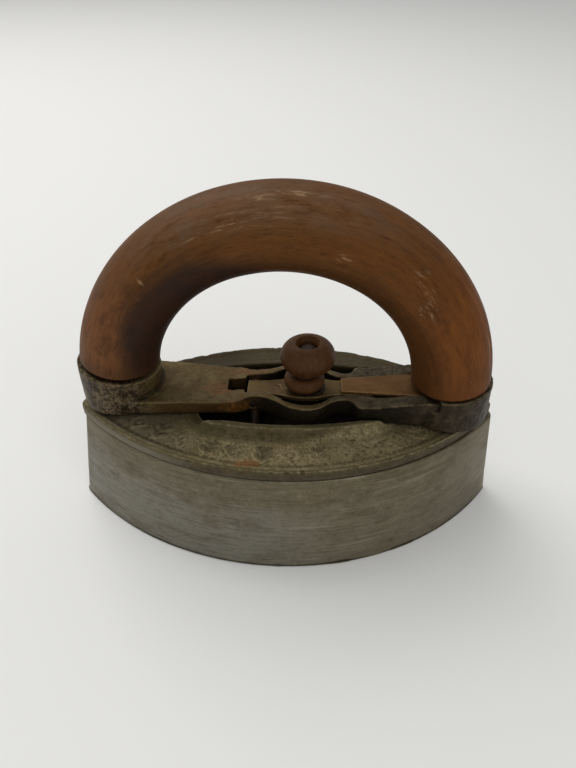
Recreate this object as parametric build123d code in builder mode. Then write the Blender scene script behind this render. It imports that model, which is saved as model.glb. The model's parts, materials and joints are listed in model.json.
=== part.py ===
from build123d import *
from math import cos, pi, radians, sin, sqrt, tan
import os

# Double-pointed flat iron with a lift-off wooden bow handle.
# Millimetres. X runs along the iron, +Z is up, and the sole's face is at Z = 0.
# The handle and its latch are drawn on planes of their own: the handle sits a little
# askew on the cap, and the latch lever stands a little above level.

os.makedirs("parts", exist_ok=True)

# ---- iron body ----
sole_length = 166.0  # between the points where the sole's two arcs meet
sole_width = 81.2
sole_tip = 4.0  # radius of the rounded ends
sole_bevel = 0.4
body_height = 40.3
body_flare = 3.8  # how far each side leans out, from the seam down to the sole
body_wall = 7.0
sole_thickness = 12.0

# ---- cap ----
cap_setback = 1.25  # how much shorter the cap is than the body's top, both points together
cap_tip = 3.0
cap_shift = -0.9  # the cap sits slightly towards the left point
rim_height = 4.75
rim_round = 0.6
cap_thickness = 3.2
band_width = 13.5  # sloping band between the rim and the middle
band_rise = 1.15

# ---- well in the middle of the cap ----
well_length = 68.0
well_width = 37.0
well_end = 27.4  # width of the well's blunt ends
well_corner = 6.0
well_floor = 26.0
well_wall = 2.6
collar_height = 4.95  # collar lip above the rim's top edge
collar_land = 2.0
collar_foot = 6.0
collar_step = 0.4  # small upright step where the cove meets the band
cove_foot = 3.6  # how far the cove stands out from the land, at its foot and at its waist
cove_waist = 2.0
cove_waist_height = 1.5
saddle_length = 24.0

# ---- handle pose on the cap ----
handle_shift = -2.75
handle_skew = -4.0  # degrees about Z, the right end nearer the front
seat_rise = 6.5
seat_height = body_height + seat_rise  # underside of the two end cups
seat_gap = 0.2
pad_radius = 9.5

# ---- wooden bow ----
bow_radius = 59.8  # from the bow's centre to the middle of the wood
bow_springing = seat_height + 8.8  # height of the bow's centre
wood_radius = 14.0
tenon_radius = 11.6
fit_gap = 0.2
shoulder_gap = 0.5

# ---- end cups ----
left_foot_radius = 14.2
right_foot_radius = 15.2
cup_rim_radius = 14.7
cup_slope = 7.5  # degrees, the rims rise outwards
cup_open = 5.0  # inward of this the right cup has no wall, to let the spring in
left_floor = seat_height + 5.8
left_rim = seat_height + 14.4  # height of the rim over the cup's own axis
right_rim = seat_height + 12.6

# ---- frame casting ----
rail_bottom = seat_height + 0.6
rail_top = seat_height + 7.2
rail_thickness = 2.8
plate_half_width = 10.6
plate_root_half_width = 14.0  # under the middle of the left cup
plate_overlap = 1.0  # the plate runs this far into the rails
plate_bottom = seat_height + 0.8
plate_top = seat_height + 5.8
neck_half_width = 8.0
belly_half_width = 14.6
arm_half_width = 12.3
plate_end = -18.0
left_neck = -10.5
belly_middle = 8.0
right_neck = 22.5
arm_start = 28.5
slot_start = -20.6
slot_half_width = 3.4
tail_slot_end = 37.0
ledge_start = 31.5
ledge_top = seat_height + 2.4
ramp_start = 31.0  # the arm rises either side of the spring, up to the right cup
ramp_inset = 9.8  # the ramp ends this far short of the right cup's axis
ramp_top = seat_height + 10.2

# ---- latch ----
pivot_along = -11.0
pivot_height = seat_height + 2.8
pivot_radius = 1.3
running_gap = 0.05
latch_angle = 2.4  # degrees, the lever stands this far above level
lever_thickness = 1.8
lever_rise = 2.4  # lever's top above the pivot's axis
lever_half_width = 4.0
lever_pad = 6.4
lever_tail_half_width = 4.3
lever_left = -2.5
lever_tail = 44.0
hub_radius = 2.3
side_gap = 0.1
swing_gap = 0.8  # room for the lever's left end as it turns
washer_radius = 2.4

# ---- hook and catch ----
catch_drop = 17.6  # bar's axis below the pivot
catch_radius = 2.0
hook_reach = 1.65  # nose of the hook, measured from under the pivot
hook_left = 4.4
hook_thickness = 2.2
hook_nose_top = -20.0
hook_nose_depth = 2.4
hook_half_width = 2.5
hook_flange = 14.0
rivet_radius = 1.1
rivet_head = 1.6
rivet_head_height = 0.6
rivet_places = (8.5, 12.2)

# ---- knob ----
knob_along = 19.75
collar_radius = 6.4
collar_thickness = 0.5
knob_foot = 5.4
bulb_radius = 7.35
bulb_widest = 3.0  # height of the bulb's widest place
bulb_height = 6.1
neck_radius = 4.5
neck_waist = 4.25
neck_length = 1.9
head_foot_radius = 5.0
head_radius = 9.8
knob_height = 19.4  # from the washer to the top of the head
recess_radius = 3.7
recess_depth = 4.0
stud_radius = 2.0
stud_end = 1.0  # how far the stud stands out of the nut and of the burr
burr_radius = 3.1
burr_thickness = 0.9
nut_width = 9.4
nut_thickness = 4.2

# ---- leaf spring ----
spring_thickness = 1.2
spring_tip = 20.7
spring_root = 14.8  # its level end starts this far short of the right cup's axis
spring_rise = 1.55  # how much higher the clamped end lies than the tip
spring_tip_half_width = 3.9
spring_root_half_width = 6.3
spring_gap = 0.12

# ---- screws ----
wood_screw_radius = 2.1
wood_screw_length = 24.0
wood_screw_head = 4.2
cap_screw_along = 24.0
cap_screw_radius = 2.5
cap_screw_head = 4.6
cap_screw_head_height = 2.4
cap_screw_depth = 9.0
boss_radius = 7.0
slot_width = 1.0
slot_depth = 1.0


# ---- sizes and planes that follow from the ones above ----
def inset(size, depth):
    """Length and width of the pointed oval that runs inside another at a constant depth."""
    length, width = size
    radius = (length**2 + width**2) / (4 * width)
    return 2 * sqrt((radius - depth) ** 2 - (radius - width / 2) ** 2), width - 2 * depth


sole_size = (sole_length, sole_width)
top_size = inset(sole_size, body_flare)
cap_size = (top_size[0] - cap_setback, top_size[1])
rim_top = body_height + rim_height
band_top = rim_top + band_rise
lip_top = rim_top + collar_height
well_bottom = well_floor - well_wall

skew = radians(handle_skew)
along = Vector(cos(skew), sin(skew), 0)  # the handle's own long direction
across = Vector(-sin(skew), cos(skew), 0)
centre = Vector(handle_shift, 0, 0)

tilt = radians(latch_angle)
lever_along = along * cos(tilt) + Vector(0, 0, sin(tilt))
lever_up = Vector(0, 0, cos(tilt)) - along * sin(tilt)
pivot = centre + along * pivot_along + Vector(0, 0, pivot_height)

lever_bottom = lever_rise - lever_thickness
tip_along = (spring_tip - pivot_along) / cos(tilt)
lever_top_at_tip = pivot_height + tip_along * sin(tilt) + lever_rise * cos(tilt)
spring_tip_bottom = lever_top_at_tip + spring_gap
right_floor = spring_tip_bottom + spring_rise
inner_gap_half = neck_half_width - rail_thickness
spring_bend = bow_radius - spring_root
catch_height = pivot_height - catch_drop
catch_x = pivot.X


def cap_plane(height):
    return Plane(origin=(cap_shift, 0, height))


def hand_plane(height):
    """Level plane that is turned with the handle."""
    return Plane(origin=centre + Vector(0, 0, height), x_dir=along, z_dir=(0, 0, 1))


hand_front = Plane(origin=centre, x_dir=along, z_dir=-across)
pivot_front = Plane(origin=pivot, x_dir=along, z_dir=-across)
latch_front = Plane(origin=pivot, x_dir=lever_along, z_dir=-across)


def latch_plane(height):
    """Plane along the lever, at a height above the pivot's axis."""
    return Plane(origin=pivot + lever_up * height, x_dir=lever_along, z_dir=lever_up)


def knob_front(height):
    """Plane through the knob's axis, with its origin at a height above the pivot's axis."""
    foot = pivot + lever_along * knob_along + lever_up * height
    return Plane(origin=foot, x_dir=lever_along, z_dir=-across)


def lens(plane, size, tip):
    """Pointed oval: two equal arcs that meet on the X axis, with rounded points."""
    length, width = size
    with BuildSketch(plane) as outline:
        with BuildLine():
            ThreePointArc((-length / 2, 0), (0, width / 2), (length / 2, 0))
            ThreePointArc((length / 2, 0), (0, -width / 2), (-length / 2, 0))
        make_face()
        fillet(outline.vertices(), tip)
    return outline.sketch


def well_outline(plane, margin):
    """The well's blunt oval, grown by a margin all round."""
    half = well_length / 2 + margin
    end = well_end / 2 + margin
    side = well_width / 2 + margin
    with BuildSketch(plane) as outline:
        with BuildLine():
            ThreePointArc((-half, end), (0, side), (half, end))
            Line((half, end), (half, -end))
            ThreePointArc((half, -end), (0, -side), (-half, -end))
            Line((-half, -end), (-half, end))
        make_face()
        fillet(outline.vertices(), well_corner + margin)
    return outline.sketch


def ogee(start, end):
    """S-curve of two equal arcs that leaves and arrives along X."""
    middle = ((start[0] + end[0]) / 2, (start[1] + end[1]) / 2)
    TangentArc(start, middle, tangent=(1, 0))
    TangentArc(end, middle, tangent=(-1, 0))


def wavy_strip(plane, stations):
    """Outline that is symmetrical about its X axis, with an ogee between stations."""
    first, last = stations[0], stations[-1]
    with BuildSketch(plane) as outline:
        with BuildLine():
            for start, end in zip(stations[:-1], stations[1:]):
                if start[1] == end[1]:
                    Line(start, end)
                else:
                    ogee(start, end)
            Line(last, (last[0], 0))
            Line((last[0], 0), (first[0], 0))
            Line((first[0], 0), first)
        make_face()
        mirror(about=Plane.XZ)
    return outline.sketch


def finish(part, name):
    part.label = name
    export_step(part, f"parts/{name}.step")


# ================= base =================

with BuildPart() as iron_body:
    sections = ((0, inset(sole_size, sole_bevel)), (sole_bevel, sole_size), (body_height, top_size))
    for (low, low_size), (high, high_size) in zip(sections[:-1], sections[1:]):
        add(lens(Plane.XY.offset(low), low_size, sole_tip))
        add(lens(Plane.XY.offset(high), high_size, sole_tip))
        loft(ruled=True)
    add(lens(Plane.XY.offset(sole_thickness), inset(top_size, body_wall), sole_tip))
    extrude(amount=body_height, mode=Mode.SUBTRACT)
    with BuildSketch(Plane.XY.offset(sole_thickness)):
        with Locations((-cap_screw_along, 0), (cap_screw_along, 0)):
            Circle(boss_radius)
    extrude(amount=well_bottom - sole_thickness)
    with BuildSketch(Plane.XY.offset(well_bottom)):
        with Locations((-cap_screw_along, 0), (cap_screw_along, 0)):
            Circle(cap_screw_radius)
    extrude(amount=-cap_screw_depth, mode=Mode.SUBTRACT)
finish(iron_body.part, "iron_body")

with BuildPart() as insulating_fill:
    add(lens(Plane.XY.offset(sole_thickness), inset(top_size, body_wall + fit_gap), sole_tip))
    extrude(amount=body_height - sole_thickness - fit_gap)
    add(well_outline(Plane.XY.offset(well_bottom - fit_gap), well_wall + fit_gap))
    extrude(amount=body_height, mode=Mode.SUBTRACT)
    with BuildSketch(Plane.XY.offset(sole_thickness)):
        with Locations((-cap_screw_along, 0), (cap_screw_along, 0)):
            Circle(boss_radius + fit_gap)
    extrude(amount=body_height, mode=Mode.SUBTRACT)
finish(insulating_fill.part, "insulating_fill")

with BuildPart() as top_cap:
    add(lens(cap_plane(body_height), cap_size, cap_tip))
    extrude(amount=rim_height)
    fillet(top_cap.faces().sort_by(Axis.Z)[-1].edges(), rim_round)
    # sloping band
    add(lens(cap_plane(rim_top - rim_round), inset(cap_size, rim_round), cap_tip))
    add(lens(cap_plane(band_top), inset(cap_size, band_width), cap_tip))
    loft(ruled=True)
    # collar round the well, with a cove at its foot
    add(well_outline(Plane.XY.offset(rim_top - rim_height / 2), collar_foot))
    extrude(amount=band_top - rim_top + rim_height / 2 + collar_step)
    cove = ((band_top + collar_step, cove_foot), (band_top + cove_waist_height, cove_waist), (lip_top, 0))
    for (low, low_margin), (high, high_margin) in zip(cove[:-1], cove[1:]):
        add(well_outline(Plane.XY.offset(low), collar_land + low_margin))
        add(well_outline(Plane.XY.offset(high), collar_land + high_margin))
        loft(ruled=True)
    # hollow underside, then the well's own walls and floor
    add(lens(cap_plane(body_height), inset(cap_size, body_wall), cap_tip))
    extrude(amount=rim_height - cap_thickness, mode=Mode.SUBTRACT)
    add(well_outline(Plane.XY.offset(well_bottom), well_wall))
    extrude(amount=rim_top - well_bottom)
    add(well_outline(Plane.XY.offset(well_floor), 0))
    extrude(amount=lip_top, mode=Mode.SUBTRACT)
    # low saddles where the handle frame crosses the collar's ends
    with BuildSketch(Plane.XY.offset(rail_bottom - seat_gap)):
        for side in (-1, 1):
            middle = side * (well_length / 2 + collar_foot / 2)
            clear_width = 2 * (arm_half_width + abs(middle * tan(skew)) + 2 * seat_gap)
            with Locations((middle, 0)):
                Rectangle(saddle_length, clear_width)
    extrude(amount=collar_height + rim_height, mode=Mode.SUBTRACT)
    # pads under the handle's two cups
    with BuildSketch(hand_plane(rim_top - rim_round)):
        with Locations((-bow_radius, 0), (bow_radius, 0)):
            Circle(pad_radius)
    extrude(amount=seat_height - seat_gap - rim_top + rim_round)
    # holes for the catch bar and the two cap screws
    with BuildSketch(Plane(origin=(catch_x, 0, catch_height), x_dir=(1, 0, 0), z_dir=(0, -1, 0))):
        Circle(catch_radius)
    extrude(amount=well_width, both=True, mode=Mode.SUBTRACT)
    with BuildSketch(Plane.XY.offset(well_bottom)):
        with Locations((-cap_screw_along, 0), (cap_screw_along, 0)):
            Circle(cap_screw_radius + fit_gap)
    extrude(amount=well_wall, mode=Mode.SUBTRACT)
finish(top_cap.part, "top_cap")

with BuildPart() as catch_bar:
    with BuildSketch(Plane(origin=(catch_x, 0, catch_height), x_dir=(1, 0, 0), z_dir=(0, -1, 0))):
        Circle(catch_radius)
    extrude(amount=well_width, both=True)
    add(well_outline(Plane.XY.offset(well_floor), well_wall))
    extrude(amount=catch_height, mode=Mode.INTERSECT)
finish(catch_bar.part, "catch_bar")

with BuildPart() as cap_screws:
    with BuildSketch(Plane.XY.offset(well_floor)):
        with Locations((-cap_screw_along, 0), (cap_screw_along, 0)):
            Circle(cap_screw_head)
    extrude(amount=cap_screw_head_height)
    chamfer(cap_screws.faces().group_by(Axis.Z)[-1].edges(), slot_depth / 2)
    with BuildSketch(Plane.XY.offset(well_bottom - cap_screw_depth)):
        with Locations((-cap_screw_along, 0), (cap_screw_along, 0)):
            Circle(cap_screw_radius)
    extrude(amount=well_floor - well_bottom + cap_screw_depth)
    with BuildSketch(Plane.XY.offset(well_floor + cap_screw_head_height - slot_depth)):
        with Locations((-cap_screw_along, 0), (cap_screw_along, 0)):
            Rectangle(slot_width, 2 * cap_screw_head)
    extrude(amount=slot_depth, mode=Mode.SUBTRACT)
finish(cap_screws.part, "cap_screws")

# ================= handle =================

cups = (
    (-1, left_floor, left_rim, left_foot_radius),
    (1, right_floor, right_rim, right_foot_radius),
)


def rim_plane(side, height):
    """Sloping plane of a cup's rim, at a height over the cup's axis."""
    slope = radians(cup_slope)
    outward = along * side
    axis_point = centre + outward * bow_radius + Vector(0, 0, height)
    normal = Vector(0, 0, cos(slope)) - outward * sin(slope)
    return Plane(origin=axis_point, x_dir=across, z_dir=normal)


cup_shells = []
shoulder_rings = []
for side, floor, rim, foot in cups:
    reach = 3 * cup_rim_radius * tan(radians(cup_slope))
    with BuildPart() as cup_shell:
        with BuildSketch(hand_plane(seat_height)):
            with Locations((side * bow_radius, 0)):
                Circle(foot)
        with BuildSketch(hand_plane(rim)):
            with Locations((side * bow_radius, 0)):
                Circle(cup_rim_radius)
        loft(ruled=True)
        with BuildSketch(hand_plane(rim)):
            with Locations((side * bow_radius, 0)):
                Circle(cup_rim_radius)
        extrude(amount=reach)
        with BuildSketch(hand_plane(floor)):
            with Locations((side * bow_radius, 0)):
                Circle(tenon_radius + fit_gap)
        extrude(amount=rim, mode=Mode.SUBTRACT)
        split(bisect_by=rim_plane(side, rim), keep=Keep.BOTTOM)
        if side == 1:
            open_length = 2 * cup_rim_radius
            with BuildSketch(hand_plane(rail_top)):
                with Locations((bow_radius - cup_open - open_length / 2, 0)):
                    Rectangle(open_length, 2 * open_length)
            extrude(amount=rim, mode=Mode.SUBTRACT)
    cup_shells.append(cup_shell.part)

    with BuildPart() as shoulder_ring:
        with BuildSketch(hand_plane(floor - reach)):
            with Locations((side * bow_radius, 0)):
                Circle(2 * wood_radius)
                Circle(tenon_radius, mode=Mode.SUBTRACT)
        extrude(amount=rim + reach - floor + wood_radius)
        split(bisect_by=rim_plane(side, rim + shoulder_gap), keep=Keep.BOTTOM)
    shoulder_rings.append(shoulder_ring.part)

with BuildPart() as handle_frame:
    # waisted rails and the broad right arm
    rail_stations = (
        (plate_end, plate_half_width),
        (left_neck, neck_half_width),
        (belly_middle, belly_half_width),
        (right_neck, neck_half_width),
        (arm_start, arm_half_width),
        (bow_radius, arm_half_width),
    )
    add(wavy_strip(hand_plane(rail_bottom), rail_stations))
    extrude(amount=rail_top - rail_bottom)
    # left plate
    with BuildSketch(hand_plane(plate_bottom)):
        with BuildLine():
            Polyline(
                (-bow_radius, plate_root_half_width),
                (plate_end + plate_overlap, plate_half_width),
                (plate_end + plate_overlap, -plate_half_width),
                (-bow_radius, -plate_root_half_width),
                close=True,
            )
        make_face()
    extrude(amount=plate_top - plate_bottom)
    for shell in cup_shells:
        add(shell)
    # the arm's rise to the right cup, with a channel for the spring
    with BuildSketch(hand_front):
        with BuildLine():
            Polyline(
                (ramp_start, rail_top),
                (bow_radius - ramp_inset, ramp_top),
                (bow_radius - cup_open, ramp_top),
                (bow_radius - cup_open, rail_top),
                close=True,
            )
        make_face()
    extrude(amount=arm_half_width, both=True)
    with BuildSketch(hand_plane(rail_top)):
        with Locations(((ramp_start + bow_radius) / 2, 0)):
            Rectangle(bow_radius - ramp_start, 2 * (spring_root_half_width + fit_gap))
    extrude(amount=ramp_top, mode=Mode.SUBTRACT)
    # window for the lever, with the small slot at its left end
    window_stations = (
        (pivot_along + lever_left - swing_gap, inner_gap_half),
        (left_neck, inner_gap_half),
        (belly_middle, belly_half_width - rail_thickness),
        (right_neck, inner_gap_half),
        (ledge_start, inner_gap_half),
    )
    add(wavy_strip(hand_plane(rail_bottom), window_stations))
    extrude(amount=rail_top, mode=Mode.SUBTRACT)
    with BuildSketch(hand_plane(rail_bottom)):
        with Locations(((slot_start + pivot_along) / 2, 0)):
            Rectangle(pivot_along - slot_start, 2 * slot_half_width)
    extrude(amount=rail_top, mode=Mode.SUBTRACT)
    with BuildSketch(hand_plane(ledge_top)):
        with Locations(((ledge_start + tail_slot_end) / 2, 0)):
            Rectangle(tail_slot_end - ledge_start, 2 * inner_gap_half)
    extrude(amount=rail_top, mode=Mode.SUBTRACT)
    # tenon seats, pivot hole and countersunk screw holes
    for side, floor, rim, foot in cups:
        with BuildSketch(hand_plane(floor)):
            with Locations((side * bow_radius, 0)):
                Circle(tenon_radius + fit_gap)
        extrude(amount=rim, mode=Mode.SUBTRACT)
        with BuildSketch(hand_plane(seat_height)):
            with Locations((side * bow_radius, 0)):
                Circle(wood_screw_head)
        with BuildSketch(hand_plane(seat_height + wood_screw_head - wood_screw_radius)):
            with Locations((side * bow_radius, 0)):
                Circle(wood_screw_radius)
        loft(ruled=True, mode=Mode.SUBTRACT)
        with BuildSketch(hand_plane(seat_height)):
            with Locations((side * bow_radius, 0)):
                Circle(wood_screw_radius)
        extrude(amount=floor - seat_height, mode=Mode.SUBTRACT)
    with BuildSketch(pivot_front):
        Circle(pivot_radius)
    extrude(amount=belly_half_width, both=True, mode=Mode.SUBTRACT)
finish(handle_frame.part, "handle_frame")

tenon_ends = (left_floor, right_floor + spring_thickness)
with BuildPart() as handle_bow:
    with BuildLine(hand_front) as bow_path:
        Line((-bow_radius, tenon_ends[0]), (-bow_radius, bow_springing))
        ThreePointArc(
            (-bow_radius, bow_springing),
            (0, bow_springing + bow_radius),
            (bow_radius, bow_springing),
        )
        Line((bow_radius, bow_springing), (bow_radius, tenon_ends[1]))
    with BuildSketch(hand_plane(tenon_ends[0])):
        with Locations((-bow_radius, 0)):
            Circle(wood_radius)
    sweep()
    for ring in shoulder_rings:
        add(ring, mode=Mode.SUBTRACT)
    for side, end in zip((-1, 1), tenon_ends):
        with BuildSketch(hand_plane(end)):
            with Locations((side * bow_radius, 0)):
                Circle(wood_screw_radius)
        extrude(amount=seat_height + wood_screw_length - end, mode=Mode.SUBTRACT)
finish(handle_bow.part, "handle_bow")

with BuildPart() as handle_screws:
    for side, floor, rim, foot in cups:
        head_height = wood_screw_head - wood_screw_radius
        with BuildSketch(hand_plane(seat_height)):
            with Locations((side * bow_radius, 0)):
                Circle(wood_screw_head)
        with BuildSketch(hand_plane(seat_height + head_height)):
            with Locations((side * bow_radius, 0)):
                Circle(wood_screw_radius)
        loft(ruled=True)
        with BuildSketch(hand_plane(seat_height + head_height)):
            with Locations((side * bow_radius, 0)):
                Circle(wood_screw_radius)
        extrude(amount=wood_screw_length - head_height)
        with BuildSketch(hand_plane(seat_height)):
            with Locations((side * bow_radius, 0)):
                Rectangle(slot_width, 2 * wood_screw_head)
        extrude(amount=slot_depth, mode=Mode.SUBTRACT)
finish(handle_screws.part, "handle_screws")

with BuildPart() as leaf_spring:
    spring_end = bow_radius + spring_root_half_width
    with BuildSketch(hand_front):
        with BuildLine():
            Polyline(
                (spring_tip, spring_tip_bottom),
                (spring_bend, right_floor),
                (spring_end, right_floor),
                (spring_end, right_floor + spring_thickness),
                (spring_bend, right_floor + spring_thickness),
                (spring_tip, spring_tip_bottom + spring_thickness),
                close=True,
            )
        make_face()
    extrude(amount=spring_root_half_width, both=True)
    with BuildSketch(hand_plane(spring_tip_bottom - spring_thickness)):
        with BuildLine():
            Polyline(
                (spring_tip, -spring_tip_half_width),
                (spring_bend, -spring_root_half_width),
                (bow_radius, -spring_root_half_width),
            )
            ThreePointArc(
                (bow_radius, -spring_root_half_width),
                (spring_end, 0),
                (bow_radius, spring_root_half_width),
            )
            Polyline(
                (bow_radius, spring_root_half_width),
                (spring_bend, spring_root_half_width),
                (spring_tip, spring_tip_half_width),
                (spring_tip, -spring_tip_half_width),
            )
        make_face()
    extrude(amount=spring_rise + 4 * spring_thickness, mode=Mode.INTERSECT)
    with BuildSketch(hand_plane(right_floor)):
        with Locations((bow_radius, 0)):
            Circle(wood_screw_radius)
    extrude(amount=spring_thickness, mode=Mode.SUBTRACT)
finish(leaf_spring.part, "leaf_spring")

with BuildPart() as pivot_pin:
    with BuildSketch(pivot_front):
        Circle(pivot_radius)
    extrude(amount=neck_half_width, both=True)
finish(pivot_pin.part, "pivot_pin")

with BuildPart() as pivot_washers:
    with BuildSketch(pivot_front):
        Circle(washer_radius)
        Circle(pivot_radius, mode=Mode.SUBTRACT)
    extrude(amount=inner_gap_half - side_gap / 2, both=True)
    with BuildSketch(pivot_front):
        Circle(2 * washer_radius)
    extrude(amount=lever_half_width + side_gap, both=True, mode=Mode.SUBTRACT)
finish(pivot_washers.part, "pivot_washers")

# ================= latch =================

lever_plan = (
    (lever_left, lever_half_width),
    (hub_radius, lever_half_width),
    (knob_along, lever_pad),
    (spring_tip - pivot_along, lever_tail_half_width),
    (lever_tail, lever_tail_half_width),
)
with BuildPart() as latch_lever:
    add(wavy_strip(latch_plane(lever_bottom), lever_plan))
    extrude(amount=lever_thickness)
    with BuildSketch(latch_front):
        Circle(hub_radius)
    extrude(amount=lever_half_width, both=True)
    with BuildSketch(latch_front):
        Circle(pivot_radius + running_gap)
    extrude(amount=lever_half_width, both=True, mode=Mode.SUBTRACT)
    with BuildSketch(latch_plane(lever_bottom)):
        with Locations((knob_along, 0)):
            Circle(stud_radius)
        with Locations(*[(place, 0) for place in rivet_places]):
            Circle(rivet_radius)
    extrude(amount=lever_thickness, mode=Mode.SUBTRACT)
finish(latch_lever.part, "latch_lever")

with BuildPart() as latch_hook:
    nose_bottom = hook_nose_top - hook_nose_depth
    with BuildSketch(latch_front):
        with BuildLine():
            Polyline(
                (hook_left, lever_bottom),
                (hook_flange, lever_bottom),
                (hook_flange, lever_bottom - lever_thickness),
                (hook_left + hook_thickness, lever_bottom - lever_thickness),
                (hook_left + hook_thickness, nose_bottom),
                (hook_reach, nose_bottom),
                (hook_reach, hook_nose_top),
                (hook_left, hook_nose_top),
                close=True,
            )
        make_face()
    extrude(amount=hook_half_width, both=True)
    with BuildSketch(latch_plane(lever_bottom)):
        with Locations(*[(place, 0) for place in rivet_places]):
            Circle(rivet_radius)
    extrude(amount=-lever_thickness, mode=Mode.SUBTRACT)
finish(latch_hook.part, "latch_hook")

with BuildPart() as hook_rivets:
    flange_bottom = lever_bottom - lever_thickness
    with BuildSketch(latch_plane(flange_bottom)):
        with Locations(*[(place, 0) for place in rivet_places]):
            Circle(rivet_radius)
    extrude(amount=2 * lever_thickness)
    with BuildSketch(latch_plane(flange_bottom)):
        with Locations(*[(place, 0) for place in rivet_places]):
            Circle(rivet_head)
    extrude(amount=-rivet_head_height)
finish(hook_rivets.part, "hook_rivets")

knob_axis = Axis(knob_front(0).origin, lever_up)
knob_bottom = lever_rise + collar_thickness
stud_top = knob_height - recess_depth + burr_thickness

with BuildPart() as knob_washer:
    with BuildSketch(latch_plane(lever_rise)):
        with Locations((knob_along, 0)):
            Circle(collar_radius)
            Circle(stud_radius, mode=Mode.SUBTRACT)
    extrude(amount=collar_thickness)
finish(knob_washer.part, "knob_washer")

with BuildPart() as knob:
    head_foot = bulb_height + neck_length
    with BuildSketch(knob_front(knob_bottom)):
        with BuildLine():
            Line((stud_radius, 0), (knob_foot, 0))
            ThreePointArc((knob_foot, 0), (bulb_radius, bulb_widest), (neck_radius, bulb_height))
            ThreePointArc(
                (neck_radius, bulb_height),
                (neck_waist, bulb_height + neck_length / 2),
                (head_foot_radius, head_foot),
            )
            ThreePointArc(
                (head_foot_radius, head_foot),
                (head_radius, (head_foot + knob_height) / 2),
                (recess_radius, knob_height),
            )
            Polyline(
                (recess_radius, knob_height),
                (recess_radius, knob_height - recess_depth),
                (stud_radius, knob_height - recess_depth),
                (stud_radius, 0),
            )
        make_face()
    revolve(axis=knob_axis)
finish(knob.part, "knob")

with BuildPart() as knob_stud:
    with BuildSketch(latch_plane(lever_bottom - nut_thickness - stud_end)):
        with Locations((knob_along, 0)):
            Circle(stud_radius)
    extrude(amount=knob_bottom + stud_top - lever_bottom + nut_thickness + 2 * stud_end)
finish(knob_stud.part, "knob_stud")

with BuildPart() as knob_burr:
    with BuildSketch(latch_plane(knob_bottom + knob_height - recess_depth)):
        with Locations((knob_along, 0)):
            Circle(burr_radius)
            Circle(stud_radius, mode=Mode.SUBTRACT)
    extrude(amount=burr_thickness)
finish(knob_burr.part, "knob_burr")

with BuildPart() as knob_nut:
    with BuildSketch(latch_plane(lever_bottom)):
        with Locations((knob_along, 0)):
            Rectangle(nut_width, nut_width)
            Circle(stud_radius, mode=Mode.SUBTRACT)
    extrude(amount=-nut_thickness)
finish(knob_nut.part, "knob_nut")
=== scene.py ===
import json
from math import asin, cos, pi, radians, sin, sqrt

import bpy
import numpy as np
from mathutils import Matrix, Vector


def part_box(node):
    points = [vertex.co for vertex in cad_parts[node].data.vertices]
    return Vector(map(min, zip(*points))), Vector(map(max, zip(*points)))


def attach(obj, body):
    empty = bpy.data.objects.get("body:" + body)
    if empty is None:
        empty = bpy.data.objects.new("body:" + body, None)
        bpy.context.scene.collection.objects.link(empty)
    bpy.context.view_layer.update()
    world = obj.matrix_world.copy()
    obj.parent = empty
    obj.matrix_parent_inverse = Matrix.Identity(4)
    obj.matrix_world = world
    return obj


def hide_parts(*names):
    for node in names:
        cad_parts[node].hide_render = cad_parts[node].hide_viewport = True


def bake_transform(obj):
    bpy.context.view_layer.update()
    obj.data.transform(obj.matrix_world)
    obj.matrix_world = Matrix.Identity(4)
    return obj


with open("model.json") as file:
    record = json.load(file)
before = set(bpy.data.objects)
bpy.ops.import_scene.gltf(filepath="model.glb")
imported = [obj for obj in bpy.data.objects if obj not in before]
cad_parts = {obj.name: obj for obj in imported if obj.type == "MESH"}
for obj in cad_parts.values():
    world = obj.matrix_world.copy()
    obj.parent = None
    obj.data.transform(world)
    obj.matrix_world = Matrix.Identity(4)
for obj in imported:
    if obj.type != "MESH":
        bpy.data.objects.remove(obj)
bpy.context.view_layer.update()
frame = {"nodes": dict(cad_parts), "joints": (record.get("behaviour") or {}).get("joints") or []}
print("frame loaded")

mm = 0.001
latchJoint = [joint for joint in frame["joints"] if joint["name"] == "latch"][0]
pivot = np.array(latchJoint["pos_m"])
across = -np.array(latchJoint["axis"])  # level, across the handle, towards the back
along = np.array([across[1], -across[0], 0.0])  # the handle's long direction
up = np.array([0.0, 0.0, 1.0])
pose = {
    "pivotAlong": -11.0 * mm,  # pivot's place along the handle, from its middle
    "leverTilt": radians(2.4),  # the lever stands this far above level
}
middle = pivot - along * pose["pivotAlong"]
middle[2] = 0.0
leverAlong = along * cos(pose["leverTilt"]) + up * sin(pose["leverTilt"])
leverUp = up * cos(pose["leverTilt"]) - along * sin(pose["leverTilt"])


# numbers and noise on whole arrays

def smooth(low, high, value):
    # 0 below low, 1 above high, an S-curve between
    share = np.clip((value - low) / (high - low), 0.0, 1.0)
    return share * share * (3.0 - 2.0 * share)


def softMax(first, second, width):
    # larger of two heights, with a fillet of about that width where they cross
    share = np.clip(0.5 + 0.5 * (second - first) / width, 0.0, 1.0)
    return first + (second - first) * share + width * share * (1.0 - share)


def lattice(points, cell, seed):
    # smooth noise from -1 to 1: random values on a cubic lattice, blended over its eight corners
    count = 32
    table = np.random.default_rng(seed).uniform(-1.0, 1.0, (count, count, count))
    scaled = points / cell
    base = np.floor(scaled).astype(int)
    part = scaled - base
    part = part * part * (3.0 - 2.0 * part)
    total = np.zeros(points.shape[:-1])
    for corner in np.ndindex(2, 2, 2):
        place = (base + np.array(corner)) % count
        weight = np.prod(np.where(np.array(corner) == 1, part, 1.0 - part), axis=-1)
        total += weight * table[place[..., 0], place[..., 1], place[..., 2]]
    return total


def layered(points, cell, seed):
    # a lattice and a second one with half its cell and half its height
    return lattice(points, cell, seed) + 0.5 * lattice(points, cell * 0.5, seed + 1)


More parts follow.
